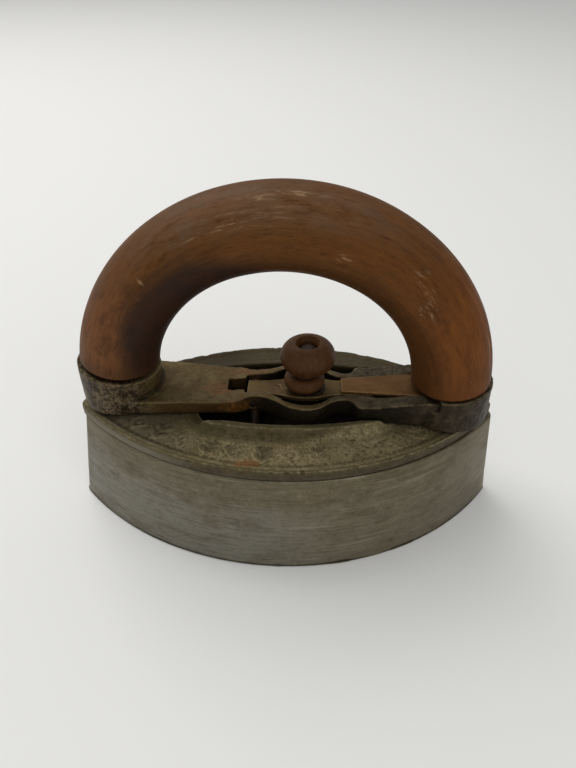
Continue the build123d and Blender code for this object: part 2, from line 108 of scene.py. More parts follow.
def softLine(corners):
    # a line through (a, z, radius, step) corners: each corner is rounded with a quadratic curve
    # that starts a radius before it, and the line is sampled at the step its corner gives
    places = np.array([corner[:2] for corner in corners])
    out = [places[:1]]
    start = places[0]
    for index in range(1, len(corners)):
        corner = places[index]
        end, bend = corner, np.zeros((0, 2))
        if index + 1 < len(corners) and corners[index][2] > 0:
            before, after = places[index - 1] - corner, places[index + 1] - corner
            end = corner + before / np.linalg.norm(before) * corners[index][2]
            leave = corner + after / np.linalg.norm(after) * corners[index][2]
            share = np.linspace(0, 1, 5)[1:, None]
            bend = end * (1 - share) ** 2 + 2 * corner * share * (1 - share) + leave * share ** 2
        steps = max(int(round(np.linalg.norm(end - start) / corners[index - 1][3])), 1)
        share = np.linspace(0, 1, steps + 1)[1:, None]
        out += [start * (1 - share) + end * share, bend]
        start = bend[-1] if len(bend) else end
    return np.vstack(out)


# meshes

def newObject(name, data):
    made = bpy.data.objects.new(name, data)
    bpy.context.scene.collection.objects.link(made)
    return made


def ringMesh(name, rings, firstPole=None, lastPole=None):
    # rings is (rows, points, 3); neighbouring rings are joined with quads, the ends with fans
    rows, count = rings.shape[:2]
    points = rings.reshape(-1, 3)
    row, col = np.meshgrid(np.arange(rows - 1), np.arange(count), indexing="ij")
    right = (col + 1) % count
    quads = np.stack([row * count + col, row * count + right, (row + 1) * count + right,
                      (row + 1) * count + col], axis=-1).reshape(-1, 4)
    around = np.arange(count)
    fans = []
    if firstPole is not None:
        fans.append(np.stack([np.full(count, len(points)), (around + 1) % count, around], axis=1))
        points = np.vstack([points, firstPole])
    if lastPole is not None:
        last = (rows - 1) * count
        fans.append(np.stack([np.full(count, len(points)), last + around, last + (around + 1) % count], 1))
        points = np.vstack([points, lastPole])
    fans = np.vstack(fans) if fans else np.zeros((0, 3), int)
    corners = np.vstack([quads[:, [0, 1, 2]], quads[:, [0, 2, 3]], fans])
    a, b, c = (points[corners[:, k]] for k in range(3))
    if np.einsum("ij,ij->i", a, np.cross(b, c)).sum() < 0:  # signed volume: turn the faces outwards
        quads, fans = quads[:, ::-1], fans[:, ::-1]
    mesh = bpy.data.meshes.new(name)
    mesh.vertices.add(len(points))
    mesh.vertices.foreach_set("co", points.astype(np.float32).ravel())
    mesh.loops.add(quads.size + fans.size)
    mesh.loops.foreach_set("vertex_index", np.concatenate([quads.ravel(), fans.ravel()]).astype(np.int32))
    mesh.polygons.add(len(quads) + len(fans))
    starts = np.concatenate([np.arange(len(quads)) * 4, quads.size + np.arange(len(fans)) * 3])
    mesh.polygons.foreach_set("loop_start", starts.astype(np.int32))
    mesh.update(calc_edges=True)
    return newObject(name, mesh)


def readVectors(mesh, key):
    values = np.zeros(len(mesh.vertices) * 3, np.float32)
    mesh.vertices.foreach_get(key, values)
    return values.reshape(-1, 3).astype(float)


def readPoints(mesh):
    return readVectors(mesh, "co")


def readNormals(mesh):
    return readVectors(mesh, "normal")


def writePoints(mesh, points):
    mesh.vertices.foreach_set("co", points.astype(np.float32).ravel())
    mesh.update()


def neighbourMean(mesh, values, rounds):
    # mean of a value over each vertex's neighbours, taken that many times over
    edges = np.zeros(len(mesh.edges) * 2, np.int32)
    mesh.edges.foreach_get("vertices", edges)
    ends = np.concatenate([edges.reshape(-1, 2), edges.reshape(-1, 2)[:, ::-1]])
    count = len(mesh.vertices)
    near = np.maximum(np.bincount(ends[:, 0], minlength=count), 1)
    flat = values.reshape(count, -1)
    for turn in range(rounds):
        flat = np.stack([np.bincount(ends[:, 0], flat[ends[:, 1], k], count) / near
                         for k in range(flat.shape[1])], axis=1)
    return flat.reshape(values.shape)


def edgeWear(mesh, reach, rounds):
    # 1 on edges that stand out, 0.5 on flats, 0 in corners: how far a vertex stands out of the
    # mean of its surroundings along its normal, compared with a reach in metres
    points = readPoints(mesh)
    stand = np.einsum("ij,ij->i", points - neighbourMean(mesh, points, rounds), readNormals(mesh))
    return np.clip(0.5 + 0.5 * stand / reach, 0.0, 1.0)


def storeFloat(mesh, name, values):
    mesh.attributes.new(name, "FLOAT", "POINT").data.foreach_set("value", values.astype(np.float32))


def storeVector(mesh, name, values):
    layer = mesh.attributes.new(name, "FLOAT_VECTOR", "POINT")
    layer.data.foreach_set("vector", values.astype(np.float32).ravel())


def finishPiece(piece, body, node, finish):
    piece.data.polygons.foreach_set("use_smooth", np.ones(len(piece.data.polygons), bool))
    piece.data.materials.clear()
    piece.data.materials.append(finish)
    if body:
        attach(piece, body)
    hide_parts(node)


def castCopy(name, node, voxel, softness, swell=0.0):
    # an even, dense mesh of a CAD node: its doubles merged, remeshed and softened at its edges
    piece = newObject(name, frame["nodes"][node].data.copy())
    weld = piece.modifiers.new("weld", "WELD")
    weld.merge_threshold = 0.002 * mm
    remesh = piece.modifiers.new("remesh", "REMESH")
    remesh.mode = "VOXEL"
    remesh.voxel_size = voxel
    soften = piece.modifiers.new("soften", "SMOOTH")
    soften.factor = 0.5
    soften.iterations = softness
    depsgraph = bpy.context.evaluated_depsgraph_get()
    dense = bpy.data.meshes.new_from_object(piece.evaluated_get(depsgraph))
    piece.modifiers.clear()
    piece.data = dense
    dense.name = name
    if swell:
        writePoints(dense, readPoints(dense) + readNormals(dense) * swell)
    return piece


def roughen(mesh, coarse, fine, seed):
    # pushes the surface in and out by a coarse and a fine noise, each given as (cell, height)
    points, normals = readPoints(mesh), readNormals(mesh)
    height = coarse[1] * layered(points, coarse[0], seed) + fine[1] * layered(points, fine[0], seed + 7)
    writePoints(mesh, points + normals * height[:, None])


# materials

class Wire:
    # a socket that takes part in sums: each operator adds a Math node
    def __init__(self, finish, socket):
        self.finish = finish
        self.socket = socket

    def maths(self, operation, first, second):
        return self.finish.node("ShaderNodeMath", {"operation": operation}, {0: first, 1: second})

    def __add__(self, other):
        return self.maths("ADD", self, other)

    def __radd__(self, other):
        return self.maths("ADD", other, self)

    def __sub__(self, other):
        return self.maths("SUBTRACT", self, other)

    def __rsub__(self, other):
        return self.maths("SUBTRACT", other, self)

    def __mul__(self, other):
        return self.maths("MULTIPLY", self, other)

    def __rmul__(self, other):
        return self.maths("MULTIPLY", other, self)


class Finish:
    # a material with one shader, whose tone is built up from layers of colour
    def __init__(self, name, roughness, metallic, specular):
        self.material = bpy.data.materials.new(name)
        self.material.use_nodes = True
        self.tree = self.material.node_tree
        self.tree.nodes.clear()
        self.shader = self.tree.nodes.new("ShaderNodeBsdfPrincipled")
        output = self.tree.nodes.new("ShaderNodeOutputMaterial")
        self.tree.links.new(self.shader.outputs[0], output.inputs[0])
        self.shader.inputs["Roughness"].default_value = roughness
        self.shader.inputs["Metallic"].default_value = metallic
        self.shader.inputs["Specular IOR Level"].default_value = specular
        self.place = self.node("ShaderNodeTexCoord", {}, {}, "Object")
        self.tone = None

    def node(self, kind, settings, sockets, output=0):
        made = self.tree.nodes.new(kind)
        for key, value in settings.items():
            setattr(made, key, value)
        for key, value in sockets.items():
            self.feed(made.inputs[key], value)
        return Wire(self, made.outputs[output])

    def feed(self, socket, value):
        if isinstance(value, Wire):
            self.tree.links.new(value.socket, socket)
        else:
            socket.default_value = (*value, 1.0) if socket.type == "RGBA" else value

    def give(self, **sockets):
        # the tone goes to the shader, and so does what else is given; the material comes back
        self.feed(self.shader.inputs["Base Color"], self.tone)
        for key, value in sockets.items():
            self.feed(self.shader.inputs[key.capitalize()], value)
        return self.material

    def attribute(self, name, output="Fac"):
        return self.node("ShaderNodeAttribute", {"attribute_name": name}, {}, output)

    def stretch(self, vector, factors, offset=(0, 0, 0)):
        return self.node("ShaderNodeMapping", {}, {"Vector": vector, "Scale": factors, "Location": offset})

    def noise(self, cell, detail=4.0, rough=0.55, vector=None, twist=0.0):
        sockets = {"Vector": vector or self.place, "Scale": 1.0 / cell, "Detail": detail, "Roughness": rough,
                   "Distortion": twist}
        return self.node("ShaderNodeTexNoise", {}, sockets)

    def streaks(self, cell, vector, share, detail, rough, twist=0.0):
        # noise drawn out along the first axis, where it keeps a share of its pace
        return self.noise(cell, detail, rough, self.stretch(vector, (share, 1.0, 1.0)), twist)

    def cells(self, cell):
        return self.node("ShaderNodeTexVoronoi", {}, {"Vector": self.place, "Scale": 1.0 / cell}, "Distance")

    def between(self, value, low, high, start=0.0, end=1.0):
        # start below low, end above high, an S-curve between
        sockets = {0: value, 1: low, 2: high, 3: start, 4: end}
        return self.node("ShaderNodeMapRange", {"interpolation_type": "SMOOTHSTEP"}, sockets)

    def mix(self, factor, first, second):
        return self.node("ShaderNodeMix", {"data_type": "RGBA"}, {0: factor, 6: first, 7: second}, 2)

    def tint(self, factor, tone):
        # lays a colour over the tone so far
        self.tone = self.mix(factor, self.tone, tone)

    def stain(self, value, low, high, share, tone):
        # lays a share of a colour over the tone, from none where the value is low to all where it is high
        self.tint(self.between(value, low, high) * share, tone)

    def axes(self, vector=None):
        made = self.tree.nodes.new("ShaderNodeSeparateXYZ")
        self.feed(made.inputs[0], vector or self.place)
        return [Wire(self, socket) for socket in made.outputs]

    def near(self, centre, radii, vector=None):
        # 1 at a centre, falling to 0 at an ellipsoid of those radii
        factors = [1.0 / radius for radius in radii]
        offset = [-place * factor for place, factor in zip(centre, factors)]
        moved = self.stretch(vector or self.place, factors, offset)
        length = self.node("ShaderNodeVectorMath", {"operation": "LENGTH"}, {0: moved}, "Value")
        return self.between(length, 0.25, 1.0, 1.0, 0.0)

    def bump(self, height, distance, normal=None, strength=1.0):
        sockets = {"Height": height, "Distance": distance, "Strength": strength}
        if normal:
            sockets["Normal"] = normal
        return self.node("ShaderNodeBump", {}, sockets)


def handlePoint(distance, side, height):
    # a point given along the handle, across it and up, in metres
    return tuple(middle + along * distance + across * side + up * height)


def groundIron():
    # satin grey iron, ground along the sides, browner near the seam, with stains and fine scratches
    f = Finish("groundIron", 0.42, 0.8, 0.3)
    flow = f.attribute("flow", "Vector")
    marks = f.streaks(0.6 * mm, flow, 0.035, 5.0, 0.62)
    coarseMarks = f.streaks(1.8 * mm, flow, 0.06, 4.0, 0.65)
    clouds = f.noise(20 * mm, 5.0, 0.65)
    stains = f.between(f.streaks(7 * mm, flow, 0.6, 7.0, 0.74), 0.46, 0.72)
    blots = f.streaks(2.4 * mm, flow, 0.6, 6.0, 0.76)
    grain = f.noise(0.7 * mm, 4.0, 0.75)
    pits = f.between(f.cells(1.8 * mm), 0.0, 0.2, 1.0, 0.0) * f.between(f.noise(5 * mm), 0.47, 0.58)
    x, height = f.axes()[::2]
    upper = f.between(height + clouds * (20 * mm) - 10 * mm + stains * (6 * mm), 18 * mm, 38 * mm)
    rightSide = f.between(x + clouds * (40 * mm) - 20 * mm, -30 * mm, 35 * mm)
    f.tone = f.mix(rightSide, (0.215, 0.205, 0.168), (0.20, 0.172, 0.115))
    f.tint(upper * 0.85, (0.158, 0.13, 0.078))
    f.stain(blots, 0.48, 0.72, 0.5, (0.285, 0.25, 0.175))
    f.tint(stains * 0.45, (0.115, 0.092, 0.052))
    f.stain(blots, 0.5, 0.28, 0.5, (0.085, 0.068, 0.04))
    f.stain(grain, 0.52, 0.68, 0.35, (0.30, 0.265, 0.19))
    f.stain(grain, 0.46, 0.3, 0.4, (0.075, 0.06, 0.038))
    f.stain(marks, 0.48, 0.66, 0.5, (0.10, 0.085, 0.06))
    f.stain(coarseMarks, 0.56, 0.72, 0.45, (0.34, 0.31, 0.23))
    flecks = f.between(f.streaks(0.9 * mm, flow, 0.35, 5.0, 0.8), 0.42, 0.3)
    f.tint(flecks * 0.6, (0.05, 0.037, 0.02))
    f.stain(f.attribute("wear"), 0.62, 0.95, 0.4, (0.28, 0.25, 0.19))
    f.tint(pits * 0.75, (0.035, 0.025, 0.014))
    relief = marks * 0.4 + coarseMarks * 0.35 + blots * 0.4 + grain * 0.3 - pits * 0.5
    normal = f.bump(relief, 0.08 * mm, None, 0.55)
    normal = f.bump(clouds, 0.5 * mm, normal, 0.3)
    return f.give(roughness=f.between(marks * 0.5 + blots * 0.5 + stains * 0.3, 0.3, 0.9, 0.42, 0.6),
                  normal=normal)


def capIron(seam):
    # rough casting: olive tarnish in the hollows, brassy speckle on the front band, rust on its bead
    # and a dark line along the seam, whose height is given. band is 1 on the sloping band
    f = Finish("capIron", 0.55, 0.6, 0.25)
    wear, band = f.attribute("wear"), f.attribute("band")
    grain = f.noise(0.9 * mm, 6.0, 0.75)
    speck = f.noise(0.4 * mm, 3.0, 0.7)
    clouds = f.noise(12 * mm, 6.0, 0.7)
    blots = f.noise(4.0 * mm, 6.0, 0.74)
    x, y, height = f.axes()
    front = f.between(y, 8 * mm, -8 * mm)
    leftSide = f.between(x + clouds * (24 * mm) - 12 * mm, -30 * mm, -52 * mm)
    f.tone = f.mix(f.between(clouds, 0.35, 0.65), (0.092, 0.072, 0.031), (0.128, 0.104, 0.05))
    f.stain(blots, 0.48, 0.7, 0.6, (0.052, 0.037, 0.015))
    f.tint(f.between(front, 0.0, 1.0, 0.6, 0.0), (0.052, 0.04, 0.02))
    backLeft = f.between(y, 6 * mm, 16 * mm) * f.between(x, -10 * mm, -24 * mm)
    f.tint(backLeft * 0.6, (0.03, 0.018, 0.007))
    relief = f.attribute("relief")
    litBand = band * front * f.between(x + clouds * (20 * mm) - 10 * mm, -62 * mm, -22 * mm, 0.35, 1.0)
    speckle = f.between(grain * 0.8 + speck * 0.3 + blots * 0.7, 0.66, 1.12)
    f.tint(litBand * 0.8, f.mix(speckle, (0.155, 0.118, 0.052), (0.37, 0.305, 0.165)))
    f.stain(relief, 0.25, 0.75, 0.75, (0.06, 0.047, 0.02))
    # painted highlight: a lighter edge laid round the flanks of the raised ornament
    highlightEdge = f.between(relief, 0.05, 0.2) * f.between(relief, 0.6, 0.35)
    f.tint(highlightEdge * 0.3, (0.36, 0.30, 0.165))
    f.tint(leftSide * front * band * 0.5, (0.15, 0.13, 0.09))
    f.stain(grain, 0.5, 0.3, 0.55, (0.045, 0.032, 0.014))
    shine = f.between(wear + grain * 0.6 + blots * 0.5 + speck * 0.2, 1.22, 1.8) * front
    f.tint(shine * 0.5, (0.34, 0.285, 0.16))
    f.stain(wear + grain * 0.2, 0.54, 0.3, 0.6, (0.035, 0.024, 0.010))
    rimWall = f.between(height, seam + 4.0 * mm, seam + 2.6 * mm) * f.between(height, seam - 0.5 * mm, seam)
    rimTone = f.mix(f.between(blots, 0.4, 0.66), (0.062, 0.045, 0.027), (0.115, 0.09, 0.06))
    rimTone = f.mix(leftSide * 0.8, rimTone, (0.24, 0.21, 0.16))
    f.tint(rimWall * 0.8, rimTone)
    rustPlace = f.near((-16 * mm, -32.6 * mm, 45 * mm), (8.5 * mm, 3.2 * mm, 4 * mm))
    rustPlace = f.between(rustPlace + (f.noise(1.6 * mm, 7.0, 0.8) - 0.5) * 2.6, 0.3, 1.1)
    scatter = f.noise(6 * mm, 7.0, 0.78, f.stretch(f.place, (1, 1, 1), (3, 1, 2)))
    f.stain(scatter, 0.55, 0.7, 0.45, (0.125, 0.06, 0.016))
    f.tint(rustPlace * 0.75, f.mix(f.between(grain, 0.4, 0.65), (0.13, 0.05, 0.012), (0.30, 0.12, 0.016)))
    crack = f.between(height + (blots - 0.5) * (0.8 * mm), seam + 0.5 * mm, seam + 0.1 * mm)
    f.tint(crack * 0.9, (0.012, 0.009, 0.006))
    normal = f.bump(grain * 0.7 + speck * 0.25 + blots * 0.5, 0.28 * mm, None, 0.8)
    return f.give(roughness=f.between(shine + litBand * speckle, 0.0, 1.0, 0.6, 0.42),
                  metallic=f.between(rustPlace, 0.0, 1.0, 0.6, 0.15), normal=normal)


def frameIron():
    # tarnished casting: olive brown on the left plate with rust by the slot, blackened to the right
    f = Finish("frameIron", 0.55, 0.5, 0.2)
    wear, top = f.attribute("wear"), f.attribute("top")
    grain = f.noise(1.0 * mm, 6.0, 0.76)
    speck = f.noise(0.45 * mm, 3.0, 0.7)
    blots = f.noise(3.2 * mm, 7.0, 0.76)
    clouds = f.noise(8 * mm, 6.0, 0.7)
    x = f.axes()[0]
    rightSide = f.between(x + clouds * (18 * mm) - 9 * mm, 6 * mm, 28 * mm)
    f.tone = f.mix(f.between(clouds, 0.35, 0.68), (0.098, 0.058, 0.017), (0.16, 0.118, 0.046))
    f.stain(blots, 0.46, 0.68, 0.65, (0.055, 0.034, 0.011))
    f.stain(grain, 0.52, 0.68, 0.55, (0.24, 0.18, 0.08))
    f.stain(speck, 0.5, 0.34, 0.6, (0.035, 0.02, 0.007))
    f.tint(rightSide * 0.9,
           f.mix(f.between(blots, 0.42, 0.66), (0.026, 0.019, 0.010), (0.10, 0.078, 0.045)))
    cups = f.between(x, -50 * mm, -56 * mm)
    cupTone = f.mix(f.between(blots + (grain - 0.5) * 0.8, 0.44, 0.6), (0.02, 0.012, 0.005),
                    (0.16, 0.115, 0.066))
    f.tint(cups * 0.9, cupTone)
    # side faces are painted darker than the tops as painted shade: brown on the left, near black along the
    # belly and the arm
    sides = f.between(top, 0.7, 0.2)
    sideShadeTone = f.mix(f.between(x + clouds * (10 * mm) - 5 * mm, -24 * mm, -8 * mm), (0.075, 0.04, 0.011),
                     (0.013, 0.010, 0.006))
    f.tint(sides * f.between(x, -50 * mm, -44 * mm) * f.between(x, 46 * mm, 36 * mm, 0.35, 0.9), sideShadeTone)
    edge = f.between(wear + blots * 0.7 + grain * 0.5, 1.4, 1.7)
    f.tint(edge * f.between(top, 0.1, 0.6, 0.2, 0.5), (0.20, 0.15, 0.075))
    f.stain(wear, 0.44, 0.22, 0.75, (0.012, 0.008, 0.004))
    slotRust = f.near(handlePoint(-24 * mm, -3 * mm, 52 * mm), (9 * mm, 7 * mm, 6 * mm))
    neckRust = f.near(handlePoint(-13 * mm, 8 * mm, 54 * mm), (15 * mm, 5 * mm, 6 * mm))
    faceRust = f.near(handlePoint(-16 * mm, -10 * mm, 50 * mm), (13 * mm, 4 * mm, 5 * mm))
    rust = slotRust + neckRust + faceRust * 0.9 + (f.noise(2.2 * mm, 7.0, 0.8) - 0.5) * 2.4
    rust = f.between(rust, 0.35, 1.0)
    f.tint(rust * 0.65, f.mix(f.between(grain, 0.4, 0.65), (0.085, 0.028, 0.005), (0.26, 0.10, 0.018)))
    dust = f.near(handlePoint(30 * mm, -8 * mm, 54.5 * mm), (11 * mm, 6 * mm, 3 * mm))
    dust = dust * f.between(f.noise(0.6 * mm, 4.0, 0.75), 0.55, 0.66)
    f.tint(dust * 0.6, (0.23, 0.18, 0.11))
    normal = f.bump(grain * 0.8 + speck * 0.4 + blots * 0.5, 0.4 * mm, None, 0.9)
    return f.give(roughness=f.between(grain, 0.3, 0.8, 0.36, 0.6),
                  metallic=f.between(rust + dust, 0.0, 1.0, 0.5, 0.08), normal=normal)


def stripSteel(name, dark, light, streak, shine):
    # thin tarnished strip: a dull film with streaks along it, worn bright at its edges
    f = Finish(name, 0.45, 0.6, 0.3)
    wear = f.attribute("wear")
    streaks = f.streaks(2.2 * mm, f.place, 0.16, 5.0, 0.65)
    speck = f.noise(0.7 * mm, 4.0, 0.7)
    clouds = f.noise(6 * mm, 4.0, 0.6)
    f.tone = f.mix(f.between(clouds, 0.35, 0.65), dark, light)
    f.stain(streaks, 0.45, 0.75, 0.6, streak)
    f.stain(speck, 0.6, 0.75, 0.5, (0.03, 0.02, 0.012))
    f.stain(wear + speck * 0.3, 0.85, 1.15, 0.5, shine)
    normal = f.bump(streaks * 0.5 + speck * 0.5, 0.08 * mm, None, 0.6)
    return f.give(roughness=f.between(clouds + speck * 0.5, 0.4, 1.0, 0.34, 0.55), normal=normal)


def bowWood():
    # worn stained wood: grain along the bow, scorched inside on the left, with a painted grey sheen on top.
    # flow is (distance along the bow, offset outwards, offset to the front)
    f = Finish("bowWood", 0.5, 0.0, 0.1)
    flow = f.attribute("flow", "Vector")
    run, outwards = f.axes(flow)[:2]
    fibres = f.streaks(0.7 * mm, flow, 0.035, 6.0, 0.7)
    bands = f.streaks(4.5 * mm, flow, 0.06, 5.0, 0.68, 0.5)
    clouds = f.noise(26 * mm, 6.0, 0.68)
    blots = f.streaks(6 * mm, flow, 0.6, 7.0, 0.76)
    grit = f.streaks(1.5 * mm, flow, 0.22, 6.0, 0.78)
    f.tone = f.mix(f.between(bands * 0.6 + blots * 0.4, 0.3, 0.72), (0.155, 0.055, 0.010),
                   (0.088, 0.030, 0.006))
    f.stain(clouds, 0.4, 0.68, 0.6, (0.115, 0.050, 0.012))
    rightLeg = f.between(run + clouds * (20 * mm) - 10 * mm, 130 * mm, 156 * mm)
    legGrain = f.between(bands * 0.6 + blots * 0.4, 0.36, 0.7)
    f.tint(rightLeg * 0.75, f.mix(legGrain, (0.225, 0.070, 0.011), (0.13, 0.039, 0.007)))
    leftLeg = f.near((22 * mm, 6 * mm, 11 * mm), (34 * mm, 16 * mm, 15 * mm), flow)
    f.tint(leftLeg * 0.7, f.mix(f.between(blots, 0.4, 0.66), (0.205, 0.082, 0.030), (0.10, 0.041, 0.017)))
    f.stain(fibres, 0.5, 0.78, 0.5, (0.06, 0.02, 0.004))
    f.stain(blots, 0.5, 0.72, 0.5, (0.062, 0.024, 0.006))
    # painted sheen: a pale grey highlight laid into the colour on the top front of the bow
    sheen = f.near((82 * mm, 11 * mm, 7 * mm), (66 * mm, 12 * mm, 14 * mm), flow)
    sheen = sheen * f.between(blots * 0.7 + fibres * 0.4 + grit * 0.3, 0.5, 0.88)
    f.tint(sheen * 0.6, (0.165, 0.108, 0.070))
    # painted shade: the arch's inner side, which faces down, is darkened
    under = f.between(outwards + clouds * (8 * mm) - 4 * mm, 0.0, -10 * mm)
    f.tint(under * 0.7, (0.045, 0.019, 0.006))
    scorch = f.near((46 * mm, -10 * mm, 6 * mm), (56 * mm, 20 * mm, 20 * mm), flow)
    scorch = scorch + (clouds - 0.5) * 0.6 + (fibres - 0.5) * 0.2 + (blots - 0.5) * 0.35
    scorch = f.between(scorch, 0.05, 0.62)
    f.tint(scorch * 0.9, f.mix(f.between(blots, 0.4, 0.6), (0.019, 0.0105, 0.0085), (0.034, 0.0135, 0.007)))
    smut = f.near((150 * mm, 2 * mm, 12 * mm), (14 * mm, 8 * mm, 9 * mm), flow) * f.between(blots, 0.3, 0.6)
    f.tint(smut * 0.5, (0.055, 0.022, 0.008))
    leftFoot = f.between(run + blots * (10 * mm) - 5 * mm, 16 * mm, 3 * mm)
    rightFoot = f.between(run + blots * (10 * mm) - 5 * mm, 164 * mm, 180 * mm)
    f.tint(leftFoot * 0.65, (0.05, 0.022, 0.010))
    f.tint(rightFoot * 0.4, (0.085, 0.03, 0.007))
    spots = [f.near(np.array(centre) * mm, np.array(radii) * mm, flow) for centre, radii in bow["scuffs"]]
    scuffs = sum(spots[1:], spots[0])
    scuffs = scuffs * f.between(grit + (fibres - 0.5) * 0.5 + (blots - 0.5) * 0.5, 0.55, 0.7)
    f.tint(scuffs * 0.6, (0.42, 0.28, 0.15))
    f.tint(f.between(grit, 0.54, 0.72) * 0.22 * (scorch * -0.9 + 1), (0.25, 0.13, 0.05))
    f.stain(grit + (blots - 0.5) * 0.4, 0.48, 0.3, 0.5, (0.028, 0.011, 0.004))
    pores = f.between(f.streaks(0.5 * mm, flow, 0.10, 2.0, 0.5), 0.66, 0.74)
    f.tint(pores * 0.5, (0.03, 0.011, 0.003))
    specks = f.between(f.cells(5.5 * mm), 0.0, 0.075, 1.0, 0.0)
    f.tint(specks * 0.5, (0.30, 0.19, 0.10))
    dents = f.between(f.attribute("wear"), 0.35, 0.9) * f.between(grit + blots * 0.5, 0.62, 0.85)
    f.tint(dents * 0.8, (0.40, 0.235, 0.11))
    # painted shadow: the wood below the shoulders, where the shoulders shade it, is made near black
    tenon = f.between(f.axes()[2], 60.5 * mm, 58.5 * mm)
    f.tint(tenon * 0.85, (0.03, 0.014, 0.006))
    normal = f.bump(fibres * 0.75 - pores * 0.6 + grit * 0.3 + blots * 0.3, 0.18 * mm, None, 0.65)
    normal = f.bump(bands, 0.35 * mm, normal, 0.35)
    return f.give(roughness=f.between(fibres + blots * 0.5, 0.45, 1.05, 0.42, 0.64), normal=normal)


def knobWood():
    # dark turned wood, dull at the waist and rubbed lighter on the bulges
    f = Finish("knobWood", 0.48, 0.0, 0.12)
    flow = f.attribute("flow", "Vector")
    rings = f.noise(0.8 * mm, 5.0, 0.68, f.stretch(flow, (0.12, 0.12, 1.0)))
    fibres = f.noise(1.0 * mm, 5.0, 0.68, f.stretch(flow, (1.0, 1.0, 0.1)))
    blots = f.noise(3.4 * mm, 6.0, 0.74)
    wear = f.attribute("wear")
    height = f.axes(flow)[2]
    f.tone = f.mix(f.between(blots, 0.38, 0.64), (0.072, 0.024, 0.0055), (0.040, 0.0135, 0.0035))
    f.tint(f.between(height, 11 * mm, 18 * mm) * f.between(blots, 0.35, 0.6, 0.3, 0.8),
           (0.10, 0.046, 0.016))
    f.stain(fibres, 0.5, 0.76, 0.6, (0.022, 0.008, 0.003))
    f.stain(rings, 0.56, 0.76, 0.35, (0.115, 0.053, 0.019))
    f.stain(wear + fibres * 0.3, 0.8, 1.05, 0.35, (0.13, 0.058, 0.02))
    f.stain(wear + fibres * 0.3, 0.5, 0.3, 0.8, (0.016, 0.007, 0.003))
    grit = f.noise(1.2 * mm, 5.0, 0.76, f.stretch(flow, (1.0, 1.0, 0.35)))
    f.stain(grit, 0.52, 0.7, 0.2, (0.18, 0.095, 0.038))
    f.stain(grit, 0.48, 0.32, 0.4, (0.016, 0.006, 0.003))
    normal = f.bump(fibres * 0.6 + rings * 0.4 + blots * 0.4 + grit * 0.3, 0.25 * mm, None, 0.8)
    return f.give(roughness=f.between(blots + fibres * 0.4, 0.4, 1.0, 0.40, 0.6), normal=normal)


def darkSteel():
    # oxidised fasteners: brown-black with rust bloom and rubbed edges
    f = Finish("darkSteel", 0.55, 0.5, 0.3)
    grain = f.noise(0.8 * mm, 5.0, 0.7)
    clouds = f.noise(3 * mm, 4.0, 0.65)
    f.tone = f.mix(f.between(clouds, 0.35, 0.65), (0.02, 0.013, 0.009), (0.042, 0.024, 0.014))
    f.stain(grain, 0.55, 0.75, 0.5, (0.085, 0.034, 0.013))
    normal = f.bump(grain, 0.12 * mm, None, 0.6)
    return f.give(roughness=f.between(grain, 0.3, 0.8, 0.4, 0.62), normal=normal)


def plaster():
    # pale matt filling with fine pores
    f = Finish("plaster", 0.9, 0.0, 0.2)
    grain = f.noise(1.5 * mm, 5.0, 0.7)
    f.tone = f.mix(grain, (0.45, 0.42, 0.37), (0.62, 0.59, 0.53))
    return f.give(roughness=f.between(grain, 0.2, 0.8, 0.85, 0.95), normal=f.bump(grain, 0.2 * mm))


# pointed oval and blunt oval, the outlines of the body, the cap and the well

def ovalOf(halfLength, halfWidth, tip):
    # two equal arcs with rounded points: radius of the arcs and how far their centres lie off the X axis
    point = halfLength - tip
    radius = (point ** 2 + halfWidth ** 2 - tip ** 2) / (2 * (halfWidth - tip))
    return {"radius": radius, "offset": radius - halfWidth, "tip": tip}


def ovalRings(oval, depths, shares, shift=0.0):
    # rings at constant depths inside the oval, (depths, shares, 2). A point is found from the
    # direction in which it faces: on an arc it lies a radius from that arc's centre, at a point
    # it lies a tip radius from the tip's centre
    rings = []
    for depth in depths:
        radius, tip = oval["radius"] - depth, oval["tip"]
        point = sqrt((radius - tip) ** 2 - oval["offset"] ** 2)
        half = asin(point / (radius - tip))
        quarter, arc = tip * (pi / 2 - half), 2 * radius * half
        lengths = np.cumsum([0, quarter, arc, 2 * quarter, arc, quarter])
        angles = [0, pi / 2 - half, pi / 2 + half, 3 * pi / 2 - half, 3 * pi / 2 + half, 2 * pi]
        facing = np.interp(shares * lengths[-1], lengths, angles)
        atTop = np.abs(facing - pi / 2) <= half
        atFoot = np.abs(facing - 3 * pi / 2) <= half
        reach = np.where(atTop | atFoot, radius, tip)
        centreX = np.where(atTop | atFoot, 0.0, np.sign(np.cos(facing)) * point)
        centreY = np.where(atTop, -oval["offset"], np.where(atFoot, oval["offset"], 0.0))
        x, y = centreX + reach * np.cos(facing) + shift, centreY + reach * np.sin(facing)
        rings.append(np.stack([x, y], axis=-1))
    return np.array(rings)


def withHeight(rings, heights):
    return np.concatenate([rings, np.broadcast_to(heights, rings.shape[:2])[..., None]], axis=-1)


# iron body

body = {
    "tip": 4.0 * mm,  # radius of the oval's two points
    "flare": 3.8 * mm,  # how far the side leans in up to the top
    "wall": 7.0 * mm,
    "sole": 12.0 * mm,  # its thickness
    "shares": 520,  # points round a ring
    "waves": (16 * mm, 0.10 * mm),  # cell and height
    "dents": (3.5 * mm, 0.05 * mm),
    "chips": (5 * mm, 0.22 * mm),  # along the sole's edge
}


